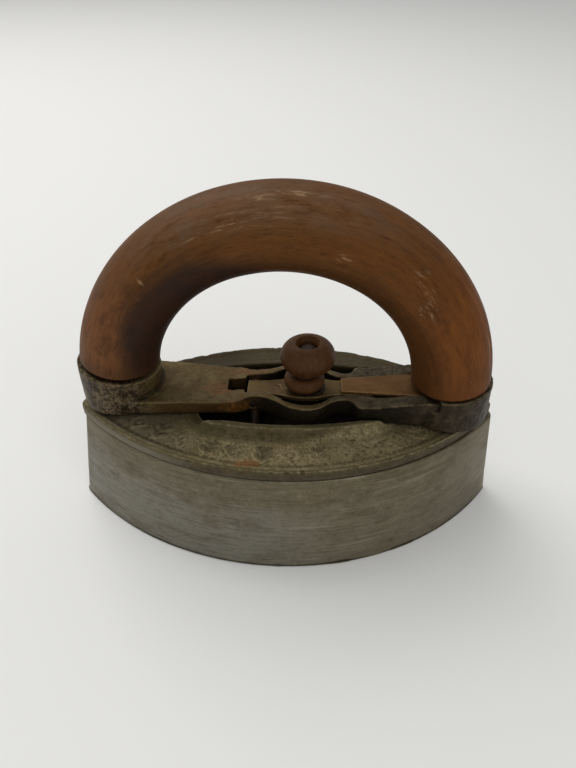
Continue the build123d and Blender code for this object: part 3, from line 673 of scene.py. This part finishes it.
def makeBody():
    # rings of the pointed oval carried along the body's section: the sole from its middle to its
    # edge, the leaning side, the top edge, then the inner wall and floor
    low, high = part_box("iron_body")
    oval = ovalOf((high.x - low.x) / 2, (high.y - low.y) / 2, body["tip"])
    top = high.z
    deepest = oval["radius"] - oval["offset"] - 1.2 * body["tip"]
    outer, inner = body["flare"], body["flare"] + body["wall"]
    line = softLine([(deepest, 0, 0, 4 * mm), (0.25 * mm, 0, 0.8 * mm, 0.25 * mm),
                     (0, 0.4 * mm, 0.7 * mm, 0.7 * mm), (outer, top, 0.8 * mm, 0.8 * mm),
                     (inner, top, 0.5 * mm, 2 * mm), (inner, body["sole"], 2 * mm, 3 * mm),
                     (deepest, body["sole"], 0, 4 * mm)])
    shares = np.arange(body["shares"]) / body["shares"]
    rings = withHeight(ovalRings(oval, line[:, 0], shares), line[:, 1][:, None])
    shrink = np.array([0.2, 0.55, 0.8])[:, None, None]
    flatRing = np.array([1.0, 1.0, 0.0])
    soleRings = rings[0] * (shrink * flatRing + (1 - flatRing))
    floorRings = rings[-1] * (shrink[::-1] * flatRing + (1 - flatRing))
    rings = np.vstack([soleRings, rings, floorRings])
    piece = ringMesh("ground_body", rings, (0, 0, 0), (0, 0, body["sole"]))
    mesh = piece.data
    points, normals = readPoints(mesh), readNormals(mesh)
    outside = smooth(0.2 * mm, 2 * mm, points[:, 2]) * smooth(top + 1 * mm, top - 3 * mm, points[:, 2])
    height = body["waves"][1] * lattice(points, body["waves"][0], 11)
    height -= body["dents"][1] * smooth(0.35, 0.8, lattice(points, body["dents"][0], 12)) * outside
    sideways = np.clip(np.hypot(normals[:, 0], normals[:, 1]), 0, 1)
    nearEdge = smooth(3 * mm, 0, points[:, 2])
    cell, depth = body["chips"]
    height -= depth * nearEdge * smooth(0.15, 0.75, lattice(points * [1, 1, 0], cell, 13))
    writePoints(mesh, points + normals * (height * sideways)[:, None])
    arcAngle = np.arctan2(points[:, 0], oval["offset"] + np.abs(points[:, 1]))
    flow = np.stack([arcAngle * oval["radius"], np.sign(points[:, 1]) * 0.1, points[:, 2]], axis=1)
    storeVector(mesh, "flow", flow)
    edge = np.exp(-(points[:, 2] / (0.9 * mm)) ** 2) * (0.6 + 0.4 * lattice(points, 4 * mm, 14))
    storeFloat(mesh, "wear", 0.5 + 0.5 * edge * (points[:, 2] > 0.05 * mm))
    finishPiece(piece, "base", "iron_body", groundIron())


# cap

cap = {
    "tip": 3.0 * mm,
    "rimHeight": 4.75 * mm,
    "plate": 3.2 * mm,
    "wall": 7.0 * mm,
    "shares": 620,
    "wellHalf": (34.0 * mm, 18.5 * mm, 13.7 * mm),  # half length, half width, half width of the blunt ends
    "wellCorner": 6.0 * mm,
    "wellFloor": 26.0 * mm,
    "wellWall": 2.6 * mm,
    "saddle": (25.0 * mm, 15.1 * mm, 47.2 * mm),  # how far out it starts, half width, height
    "pad": (59.8 * mm, 9.5 * mm, 46.6 * mm),  # place along the handle, radius, height
    "crack": 0.3 * mm,  # dark gap left under the rim
    "relief": 0.42 * mm,
    "motif": 9.6 * mm,  # spacing of the cast ornament round the band
    "motifReach": 66 * mm,
    "motifDepth": 7.6 * mm,
    # (depth in from the rim, height over it) in mm: the bead, a groove and the sloping band
    "band": ((0, -0.5), (0.7, 0.02), (1.3, 0.22), (1.9, 0.2), (2.7, -0.1), (3.4, -0.12), (4.6, 0.1),
             (9.5, 0.85), (13.5, 1.15), (40, 1.3)),
    # (distance out from the well, height over the rim) in mm: the collar's top, its cove and its foot
    "collar": ((-1, 4.7), (0.0, 4.85), (0.7, 4.97), (1.5, 4.97), (2.1, 4.7), (2.5, 4.2), (3.1, 3.2),
               (3.9, 2.35), (4.9, 1.7), (6.0, 1.3), (7.5, 0.9), (9, -2), (60, -40)),
}


def wellMargin(x, y):
    # how far a place lies outside the well's blunt oval: the larger of its distances to the long
    # arc and to the blunt end, rounded at the corners
    halfLength, halfWidth, halfEnd = cap["wellHalf"]
    corner = cap["wellCorner"]
    rise = halfWidth - halfEnd
    radius = (halfLength ** 2 + rise ** 2) / (2 * rise)
    side = np.hypot(x, np.abs(y) + radius - halfWidth) - (radius - corner)
    end = np.abs(x) - (halfLength - corner)
    return np.minimum(np.maximum(side, end), 0) + np.hypot(np.maximum(side, 0), np.maximum(end, 0)) - corner


def wellRings(margins, angles):
    # rings at constant margins round the well, found by halving the reach along each angle
    margins = np.asarray(margins)[:, None]
    low = np.zeros((len(margins), len(angles)))
    high = np.full_like(low, 90 * mm)
    for turn in range(32):
        reach = (low + high) / 2
        outside = wellMargin(reach * np.cos(angles), reach * np.sin(angles)) > margins
        low, high = np.where(outside, low, reach), np.where(outside, reach, high)
    return np.stack([reach * np.cos(angles), reach * np.sin(angles)], axis=-1)


def castOrnament(run, deep):
    # raised border: lozenges with a dot turn about with pairs of leaves on a stem. run is the
    # distance along the band and deep the distance in from the rim; 1 on the ornament, 0 off it
    count = np.round(run / cap["motif"])
    a = (run - count * cap["motif"]) / mm
    c = (deep - cap["motifDepth"]) / mm
    lozenge = np.abs((np.abs(a) / 3.3 + np.abs(c) / 3.7) - 0.86) * 2.5 - 0.62
    dot = np.hypot(a, c) - 0.85
    leaves = np.full_like(a, 9.0)
    for side in (-1, 1):
        for place in (-1.4, 1.6):
            x, y = a - side * 1.75, c - place
            turned = (x * cos(0.7) * side + y * sin(0.7)), (-x * sin(0.7) * side + y * cos(0.7))
            leaves = np.minimum(leaves, (np.hypot(turned[0] / 2.1, turned[1] / 0.85) - 1) * 0.85)
    stem = np.maximum(np.abs(a) - 0.4, np.abs(c) - 3.6)
    shape = np.where(count % 2 == 0, np.minimum(lozenge, dot), np.minimum(leaves, stem))
    return smooth(0.6, -0.6, shape) * (np.abs(run) < cap["motifReach"])


def ornamentAt(x, y, oval, shift):
    # share of the ornament at each place: on the front band only, worn away in patches
    px = x - shift
    depth = oval["radius"] - np.hypot(px, np.abs(y) + oval["offset"])
    run = (oval["radius"] - 7 * mm) * np.arctan2(-np.sign(y) * px, oval["offset"] + np.abs(y))
    points = np.stack([x, y, 0 * x], axis=-1)
    worn = 0.35 + 0.65 * smooth(-0.35, 0.35, lattice(points, 9 * mm, 31))
    shape = castOrnament(run + 0.5 * mm * lattice(points, 4 * mm, 32), depth)
    return shape * worn * smooth(4 * mm, -4 * mm, y) * smooth(6.2 * mm, 7.2 * mm, wellMargin(x, y))


def capHeight(x, y, oval, shift, rimTop):
    # height of the cap's upper side: a sloping band inside the rim's bead, the larger of it and the
    # collar's cove, lowered where the handle crosses and raised to a pad under each cup
    depth = oval["radius"] - np.hypot(x - shift, np.abs(y) + oval["offset"])
    band = rimTop + np.interp(depth, *(np.array(cap["band"]).T * mm))
    collar = rimTop + np.interp(wellMargin(x, y), *(np.array(cap["collar"]).T * mm))
    height = softMax(band, collar, 0.5 * mm)
    height = height + cap["relief"] * ornamentAt(x, y, oval, shift)
    start, half, low = cap["saddle"]
    saddle = smooth(start - 0.9 * mm, start + 0.9 * mm, np.abs(x))
    saddle *= smooth(half + 1.1 * mm, half - 0.5 * mm, np.abs(y))
    height = height - saddle * np.maximum(height - low, 0)
    place, radius, padTop = cap["pad"]
    for side in (-1, 1):
        seat = middle + along * side * place
        inPad = smooth(radius + 0.4 * mm, radius - 0.4 * mm, np.hypot(x - seat[0], y - seat[1]))
        height = height + inPad * np.maximum(padTop - height, 0)
    return height


def makeCap():
    # rings: the well's outside, the underside, the rim's wall, the band, the collar and the well's
    # inside. Rings follow the rim's pointed oval, then the well's blunt one, and are blended between
    low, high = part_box("top_cap")
    seamZ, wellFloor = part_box("iron_body")[1].z, cap["wellFloor"]
    rimTop, crackZ = seamZ + cap["rimHeight"], seamZ + cap["crack"]
    plateZ = rimTop - cap["plate"]
    shift = (low.x + high.x) / 2
    oval = ovalOf((high.x - low.x) / 2, (high.y - low.y) / 2, cap["tip"])
    shares = np.arange(cap["shares"]) / cap["shares"]
    guide = ovalRings(oval, [6 * mm], shares, shift)[0]
    angles = np.arctan2(guide[:, 1], guide[:, 0])
    blocks = []

    def add(rings, heights):
        blocks.append(withHeight(rings, heights))

    def rimRings(depths):
        return ovalRings(oval, depths, shares, shift)

    def blended(first, last, count):
        share = np.linspace(0, 1, count + 2)[1:-1, None, None]
        return first * (1 - share) + last * share

    outer, inner = wellRings([cap["wellWall"]], angles), wellRings([-0.7 * mm], angles)
    add(outer * np.array([0.3, 0.6, 0.85, 0.98])[:, None, None], low.z)
    add(np.repeat(outer, 8, 0), np.linspace(low.z + 0.3 * mm, plateZ, 8)[:, None])
    skirt = rimRings([cap["wall"]])
    add(blended(outer[0], skirt[0], 8), plateZ)
    add(np.repeat(skirt, 2, 0), np.array([plateZ, seamZ])[:, None])
    add(rimRings([4 * mm, 1.5 * mm, 0.7 * mm]), crackZ)
    wallLine = softLine([(0.5 * mm, crackZ, 0, 0.2 * mm), (0.0, crackZ + 0.4 * mm, 0, 0.45 * mm),
                         (0.0, rimTop, 0.6 * mm, 0.3 * mm), (0.75 * mm, rimTop, 0, 0.3 * mm)])
    add(rimRings(wallLine[:-1, 0]), wallLine[:-1, 1][:, None])
    bandRings = rimRings(np.arange(0.75, 11.6, 0.34) * mm)
    margins = np.concatenate([np.linspace(6.0, 2.6, 12), np.arange(2.35, 0.1, -0.25), [0.0]]) * mm
    collarRings = wellRings(margins, angles)
    upper = np.vstack([bandRings, blended(bandRings[-1], collarRings[0], 15), collarRings])
    heights = capHeight(upper[..., 0], upper[..., 1], oval, shift, rimTop)
    add(upper, heights)
    fall = np.linspace(0, 1, 30)[1:, None]
    wallHeights = (heights[-1] - 0.3 * mm) * (1 - fall) + (wellFloor + 0.8 * mm) * fall
    add(np.repeat(wellRings([-0.12 * mm], angles), len(fall), 0), wallHeights)
    add(wellRings(np.array([-0.35, -1.0]) * mm, angles), np.array([[0.3], [0.0]]) * mm + wellFloor)
    add(inner * np.array([0.93, 0.82, 0.68, 0.5, 0.3, 0.12])[:, None, None], wellFloor)
    piece = ringMesh("cast_cap", np.vstack(blocks), (0, 0, low.z), (0, 0, wellFloor))
    mesh = piece.data
    points, normals = readPoints(mesh), readNormals(mesh)
    x, y, height = points.T
    free = smooth(seamZ + 0.2 * mm, seamZ + 1.2 * mm, height) + smooth(seamZ - 1 * mm, seamZ - 3 * mm, height)
    rough = 0.085 * mm * layered(points, 1.5 * mm, 41) + 0.10 * mm * lattice(points, 5 * mm, 45)
    reach = np.hypot(x - shift, np.abs(y) + oval["offset"])
    onRim = smooth(oval["radius"] - 2.6 * mm, oval["radius"] - 1.2 * mm, reach)
    onRim *= smooth(rimTop - 2.4 * mm, rimTop - 0.6 * mm, height)
    rough -= 0.3 * mm * onRim * smooth(0.2, 0.8, lattice(points, 2.6 * mm, 47))
    calm = smooth(0.98, 0.8, np.abs(normals[:, 2])) + smooth(rimTop + 3 * mm, rimTop + 2 * mm, height)
    writePoints(mesh, points + normals * (rough * np.clip(free, 0, 1) * np.clip(calm, 0.35, 1))[:, None])
    storeFloat(mesh, "wear", edgeWear(mesh, 0.16 * mm, 5))
    onBand = smooth(0.4 * mm, 1.4 * mm, oval["radius"] - reach)
    onBand *= smooth(rimTop - 0.9 * mm, rimTop - 0.3 * mm, height)
    margin = wellMargin(x, y) + 4 * mm * smooth(-5 * mm, 25 * mm, x)
    storeFloat(mesh, "band", onBand * smooth(4.6 * mm, 7.4 * mm, margin))
    storeFloat(mesh, "relief", onBand * ornamentAt(x, y, oval, shift))
    finishPiece(piece, "base", "top_cap", capIron(seamZ))


# handle frame

casting = {
    "voxel": 0.42 * mm,
    "softness": 3,  # rounds of smoothing
    "swell": 0.02 * mm,  # makes up for what smoothing takes off
    "plateTop": 52.6 * mm,
    "plateFrom": -40 * mm,  # along the handle, where the plate is clear of the cup
    "railsRise": (-18.8 * mm, -9 * mm),  # the rails' tops rise out of the plate over this stretch
    "coarse": (3.2 * mm, 0.13 * mm),  # cell and height of the crust
    "fine": (1.1 * mm, 0.055 * mm),
}


def makeFrame():
    # a dense copy whose rails rise smoothly out of the plate: height above the plate times an S-curve
    piece = castCopy("cast_frame", "handle_frame", casting["voxel"], casting["softness"], casting["swell"])
    mesh = piece.data
    points = readPoints(mesh)
    place = (points - middle) @ along
    share = np.where(place > casting["plateFrom"], smooth(*casting["railsRise"], place), 1.0)
    above = np.maximum(points[:, 2] - casting["plateTop"], 0)
    points[:, 2] -= above * (1 - share)
    writePoints(mesh, points)
    roughen(mesh, casting["coarse"], casting["fine"], 61)
    storeFloat(mesh, "wear", edgeWear(mesh, 0.14 * mm, 4))
    # how far each face turns up; the frame's finish uses it to paint shade on the side faces
    storeFloat(mesh, "top", np.clip(readNormals(mesh)[:, 2], 0, 1))
    finishPiece(piece, "handle", "handle_frame", frameIron())


# wooden bow

bow = {
    "radius": 59.8 * mm,
    "wood": 14.0 * mm,  # radius of the wood
    "tenon": 11.6 * mm,  # and of its tenons
    "rounding": 0.7 * mm,  # round the shoulders' edges
    "shoulders": (62.5 * mm, 59.9 * mm),  # height of the left and the right shoulder
    "ends": (52.6 * mm, 56.2 * mm),  # height of the left and the right tenon's end
    "slope": radians(7.5),  # the ends stop turning at this angle above level
    "around": 128,  # points round a ring
    "step": 0.8 * mm,  # between rings
    # place along, angle round, half length, half width and depth; degrees and mm
    "dents": ((47, 74, 0.8, 2.2, 0.4), (42, 86, 1.5, 0.6, 0.3), (18, 74, 1.8, 0.6, 0.3),
              (110, 104, 1.6, 1.0, 0.25), (139, 78, 1.6, 1.2, 0.3), (144, 86, 1.0, 1.4, 0.25),
              (63, 60, 1.6, 0.8, 0.25), (98, 40, 1.4, 0.9, 0.25), (170, 25, 6.0, 1.0, 0.3),
              (84, 70, 1.2, 0.7, 0.25), (152, 250, 2.4, 1.2, 0.4), (60, 285, 2.8, 1.1, 0.4),
              (120, 262, 1.6, 1.2, 0.35)),
    # centre and radii in mm: along the bow, outwards and to the front
    "scuffs": (((112, -2, 13), (5, 5, 5)), ((137, 4, 13), (7, 6, 6)), ((144, 0, 14), (6, 5, 6)),
               ((171, 13, 5), (14, 3, 5)), ((78, 8, 12), (26, 4, 5)), ((92, 12, 6), (16, 4, 5)),
               ((60, -12, -6), (12, 6, 6)), ((130, 6, -12), (16, 6, 6))),
}


def makeBow():
    # a round section carried along a half circle. Each row has a place on the half circle, a tilt,
    # a radius and a lift off its own plane; the first and last rows are the tenons and shoulders
    wood, tenon, rounding = bow["wood"], bow["tenon"], bow["rounding"]
    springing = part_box("handle_bow")[1].z - bow["radius"] - wood
    rows = []
    turns = [asin((height - springing) / bow["radius"]) for height in bow["shoulders"]]
    for side, (turn, shoulder, end) in enumerate(zip(turns, bow["shoulders"], bow["ends"])):
        part = [(turn, tenon - 0.8 * mm, end - shoulder), (turn, tenon, end + 0.8 * mm - shoulder)]
        part += [(turn, tenon, share * (end - shoulder)) for share in (0.75, 0.5, 0.25, 0.02)]
        part += [(turn, tenon + share * (wood - tenon - rounding), 0.0) for share in np.linspace(0, 1, 4)[1:]]
        part += [(turn, wood - rounding * (1 - sin(angle)), rounding * (1 - cos(angle)))
                 for angle in np.radians([25, 50, 75])]
        if side == 1:
            part = [(pi - turn, radius, -lift) for turn, radius, lift in part[::-1]]
        rows.append(part)
    count = int(pi * bow["radius"] / bow["step"])
    inside = [(turn, wood, 0.0) for turn in np.linspace(turns[0] + 0.022, pi - turns[1] - 0.022, count)]
    turn, radius, lift = np.array(rows[0] + inside + rows[1]).T[:, :, None]
    tilt = np.clip(turn, bow["slope"], pi - bow["slope"])
    share = np.abs(lift) / (9 * mm) * (radius <= tenon)
    tilt = np.where(turn < pi / 2, tilt * (1 - share), pi - (pi - tilt) * (1 - share))
    angle = np.arange(bow["around"]) * (2 * pi / bow["around"])
    run = bow["radius"] * turn + lift + 0 * angle
    outwards, forwards = np.cos(angle) * radius, np.sin(angle) * radius
    flow = np.stack([run, outwards, forwards], axis=-1)
    swell = 0.16 * mm * lattice(flow * [0.4, 1, 1], 11 * mm, 71)
    swell = swell + 0.05 * mm * lattice(flow * [0.12, 1, 1], 1.6 * mm, 72)
    dented = np.zeros_like(swell)
    for place, degrees, halfLength, halfWidth, depth in bow["dents"]:
        side = np.radians((np.degrees(angle) - degrees + 180) % 360 - 180) * wood
        far = np.hypot((run - place * mm) / (halfLength * mm), side / (halfWidth * mm))
        far = far * (1 + 0.3 * lattice(flow, 1.5 * mm, 73))
        dented = np.maximum(dented, np.exp(-far ** 2) * depth)
    radius = radius + (swell - dented * mm) * (radius > tenon)
    outwards, forwards = np.cos(angle) * radius, np.sin(angle) * radius
    centreU = -np.cos(turn) * bow["radius"]
    centreZ = springing + np.sin(turn) * bow["radius"]
    u = centreU - outwards * np.cos(tilt) + lift * np.sin(tilt)
    z = centreZ + outwards * np.sin(tilt) + lift * np.cos(tilt)
    rings = middle + u[..., None] * along + z[..., None] * up - forwards[..., None] * across
    piece = ringMesh("worn_bow", rings, rings[0].mean(0), rings[-1].mean(0))
    storeVector(piece.data, "flow", np.vstack([flow.reshape(-1, 3), flow[0].mean(0), flow[-1].mean(0)]))
    storeFloat(piece.data, "wear", np.append((dented / 0.45).ravel(), [0, 0]))
    finishPiece(piece, "handle", "handle_bow", bowWood())


# knob

knob = {
    "along": 19.75 * mm,  # its axis, measured along the lever from the pivot
    "foot": 2.9 * mm,  # its underside, above the pivot's axis
    "lean": -1.2 * mm,  # how far the bulb sits off the head's axis, to the left
    "around": 112,  # points round a ring
    "ragged": 0.28 * mm,  # how far the hole's rim wanders
}


def arcThrough(first, second, third, count):
    # points on the circle through three places, from the first to the third
    a, b, c = (complex(*place) for place in (first, second, third))
    w = (c - a) / (b - a)
    centre = (b - a) * (w - abs(w) ** 2) / (2j * w.imag) + a
    angles = np.unwrap([np.angle(place - centre) for place in (a, b, c)])
    turn, radius = np.interp(np.linspace(0, 2, count), [0, 1, 2], angles), abs(a - centre)
    return np.stack([centre.real + radius * np.cos(turn), centre.imag + radius * np.sin(turn)], axis=1)


def makeKnob():
    # a turned profile of (radius, height) carried round the knob's axis, closed through the stud hole
    line = np.vstack([
        [(2.0, 0.0), (3.4, 0.0), (4.6, 0.0), (5.2, 0.1)],
        arcThrough((5.5, 0.3), (7.35, 3.0), (4.6, 6.0), 16),
        arcThrough((4.4, 6.3), (4.25, 7.05), (4.8, 7.85), 7),
        arcThrough((5.2, 8.05), (9.8, 13.7), (4.4, 19.2), 44),
        [(4.25, 19.25), (4.1, 19.1), (3.95, 18.7), (3.75, 18.1), (3.55, 17.4), (3.5, 16.4), (3.45, 15.6),
         (3.2, 15.4), (2.6, 15.4), (2.0, 15.4), (2.0, 11.0), (2.0, 6.0)]]) * mm
    angle = np.arange(knob["around"]) * (2 * pi / knob["around"])
    foot = pivot + leverAlong * knob["along"] + leverUp * knob["foot"]
    radius, height = line[:, :1], line[:, 1:] + 0 * angle
    flat = np.stack([radius * np.cos(angle), radius * np.sin(angle), height], axis=-1)
    outside = smooth(2.3 * mm, 3.2 * mm, radius)
    waves = 0.07 * mm * lattice(flat, 5 * mm, 81) + 0.03 * mm * lattice(flat, 1.2 * mm, 82)
    radius = radius + outside * waves
    atHole = smooth(17.2 * mm, 19.1 * mm, height) * smooth(5 * mm, 3.9 * mm, radius)
    radius = radius + atHole * knob["ragged"] * (0.6 + lattice(flat, 1.7 * mm, 83))
    height = height - atHole * 0.2 * mm * (1 + lattice(flat, 1.4 * mm, 84))
    nick = np.exp(-(((np.degrees(angle) - 215) / 16) ** 2 + ((height - 11 * mm) / (0.6 * mm)) ** 2))
    radius = radius - 0.2 * mm * nick * outside
    lean = knob["lean"] * smooth(11 * mm, 5 * mm, height)
    rings = (foot + (radius * np.cos(angle) + lean)[..., None] * leverAlong
             + (radius * np.sin(angle))[..., None] * across + height[..., None] * leverUp)
    rings = np.vstack([rings, rings[:1]])
    piece = ringMesh("turned_knob", rings)
    clean = piece.modifiers.new("close", "WELD")  # joins the last ring to the first
    clean.merge_threshold = 0.001 * mm
    storeVector(piece.data, "flow", np.vstack([flat, flat[:1]]).reshape(-1, 3))
    storeFloat(piece.data, "wear", edgeWear(piece.data, 0.12 * mm, 4))
    closed = bpy.data.meshes.new_from_object(piece.evaluated_get(bpy.context.evaluated_depsgraph_get()))
    piece.modifiers.clear()
    piece.data = closed
    finishPiece(piece, "latch", "knob", knobWood())


# lever, spring and small steel pieces

# node: (new name, body, slot, voxel, softness, noise height)
steelPieces = {
    "latch_lever": ("worn_lever", "latch", "lever_steel", 0.26 * mm, 3, 0.05 * mm),
    "leaf_spring": ("tapered_spring", None, "spring_steel", 0.25 * mm, 2, 0.04 * mm),
    "latch_hook": ("forged_hook", "latch", "dark_steel", 0.24 * mm, 3, 0.05 * mm),
    "hook_rivets": ("closed_rivets", "latch", "lever_steel", 0.14 * mm, 3, 0.02 * mm),
    "knob_washer": ("dished_washer", "latch", "dark_steel", 0.18 * mm, 3, 0.03 * mm),
    "knob_burr": ("copper_burr", "latch", "dark_steel", 0.13 * mm, 2, 0.03 * mm),
    "knob_stud": ("peened_stud", "latch", "dark_steel", 0.2 * mm, 3, 0.02 * mm),
    "knob_nut": ("square_nut", "latch", "dark_steel", 0.24 * mm, 6, 0.06 * mm),
    "pivot_pin": ("filed_pin", "handle", "dark_steel", 0.16 * mm, 2, 0.02 * mm),
    "pivot_washers": ("pin_washers", "handle", "dark_steel", 0.14 * mm, 1, 0.01 * mm),
    "handle_screws": ("wood_screws", "handle", "dark_steel", 0.22 * mm, 2, 0.02 * mm),
    "catch_bar": ("cast_in_bar", "base", "dark_steel", 0.25 * mm, 3, 0.04 * mm),
    "cap_screws": ("slotted_screws", "base", "dark_steel", 0.25 * mm, 2, 0.03 * mm),
}


# dark and light film, streaks and bright edges
stripTones = {
    "lever": ((0.075, 0.042, 0.012), (0.115, 0.073, 0.024), (0.17, 0.115, 0.048), (0.20, 0.14, 0.07)),
    "spring": ((0.115, 0.050, 0.011), (0.15, 0.072, 0.020), (0.19, 0.10, 0.034), (0.29, 0.17, 0.075)),
}
# places for the spring's clamped end and tip: along the handle, across it and up. They are read, but the
# spring is not bent to them
springBend = ((44 * mm, 0, 54 * mm), (21 * mm, 0, 53.6 * mm))


def makeSteel():
    # dense copies of the small pieces. The spring is copied like the rest and stays unbent
    finishes = {
        "lever_steel": stripSteel("leverSteel", *stripTones["lever"]),
        "spring_steel": stripSteel("springSteel", *stripTones["spring"]),
        "dark_steel": darkSteel(),
    }
    for number, (node, (name, body, slot, voxel, softness, height)) in enumerate(steelPieces.items()):
        piece = castCopy(name, node, voxel, softness)
        mesh = piece.data
        roughen(mesh, (2.5 * mm, height), (0.8 * mm, height * 0.4), 90 + 10 * number)
        storeFloat(mesh, "wear", edgeWear(mesh, 0.05 * mm, 3))
        finishPiece(piece, body, node, finishes[slot])
        if node == "leaf_spring":
            clamped, tip = (handlePoint(*place) for place in springBend)
            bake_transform(piece)


def makeFilling():
    # the filling keeps its CAD solid and takes a finish
    filling, finish = frame["nodes"]["insulating_fill"], plaster()
    for slot in filling.material_slots:
        slot.material = finish
    if not filling.material_slots:
        filling.data.materials.append(finish)


# stage

view = {
    "place": (-10.29 * mm, -189.41 * mm, 198.92 * mm),
    "down": radians(37.45),
    "turn": radians(-2.69),
    "roll": radians(1.84),
    "lens": 30.47,
}
studio = {
    "floor": ((0.93, 0.93, 0.915), (0.84, 0.84, 0.83)),  # its tone and its mottling
    "floorHalf": 3.0,
    "skyTone": (0.97, 0.97, 0.96, 1.0),
    "sky": 0.44,
    # place, side, power and tone of each lamp
    "lamps": (((-0.55, 0.55, 1.15), 1.1, 9.0, (1.0, 0.985, 0.96)),
              ((0.25, -0.75, 0.95), 0.9, 2.4, (0.96, 0.98, 1.0))),
}


def makeStage():
    # a pale floor, an even sky and two soft lamps that face the iron
    mesh = bpy.data.meshes.new("floor")
    half = studio["floorHalf"]
    corners = [(-half, -half, 0), (half, -half, 0), (half, half, 0), (-half, half, 0)]
    mesh.from_pydata(corners, [], [(0, 1, 2, 3)])
    floor = newObject("floor", mesh)
    paint = Finish("floorPaint", 0.75, 0.0, 0.3)
    mottle = paint.noise(50 * mm, 3.0, 0.6)
    paint.tone = paint.mix(mottle * 0.12, *studio["floor"])
    paint.give()
    mesh.materials.append(paint.material)
    world = bpy.data.worlds.new("studio")
    world.use_nodes = True
    sky = world.node_tree.nodes["Background"]
    sky.inputs[0].default_value, sky.inputs[1].default_value = studio["skyTone"], studio["sky"]
    bpy.context.scene.world = world
    for number, (place, size, power, tone) in enumerate(studio["lamps"]):
        lamp = bpy.data.lights.new(f"lamp{number}", "AREA")
        lamp.shape, lamp.size, lamp.energy, lamp.color = "SQUARE", size, power, tone
        holder = newObject(f"lamp{number}", lamp)
        holder.location = place
        holder.rotation_euler = (Vector((0, 0, 0.05)) - Vector(place)).to_track_quat("-Z", "Y").to_euler()
    bpy.context.scene.view_settings.view_transform = "Standard"


def makeCamera():
    # the photo's view: turned about the upright, tipped down, then rolled
    camera = bpy.data.cameras.new("camera")
    camera.lens, camera.sensor_width = view["lens"], 36.0
    camera.clip_start = 0.01
    holder = newObject("camera", camera)
    turned = (Matrix.Rotation(view["turn"], 4, "Z") @ Matrix.Rotation(pi / 2 - view["down"], 4, "X")
              @ Matrix.Rotation(view["roll"], 4, "Z"))
    holder.matrix_world = Matrix.Translation(view["place"]) @ turned
    bpy.context.scene.camera = holder


makeCamera()
makeStage()
print("camera and stage ready")
makeBody()
print("body made")
makeCap()
print("cap made")
makeFrame()
print("frame made")
makeBow()
makeKnob()
print("wood made")
makeSteel()
print("steel made")
makeFilling()
print("filling made")
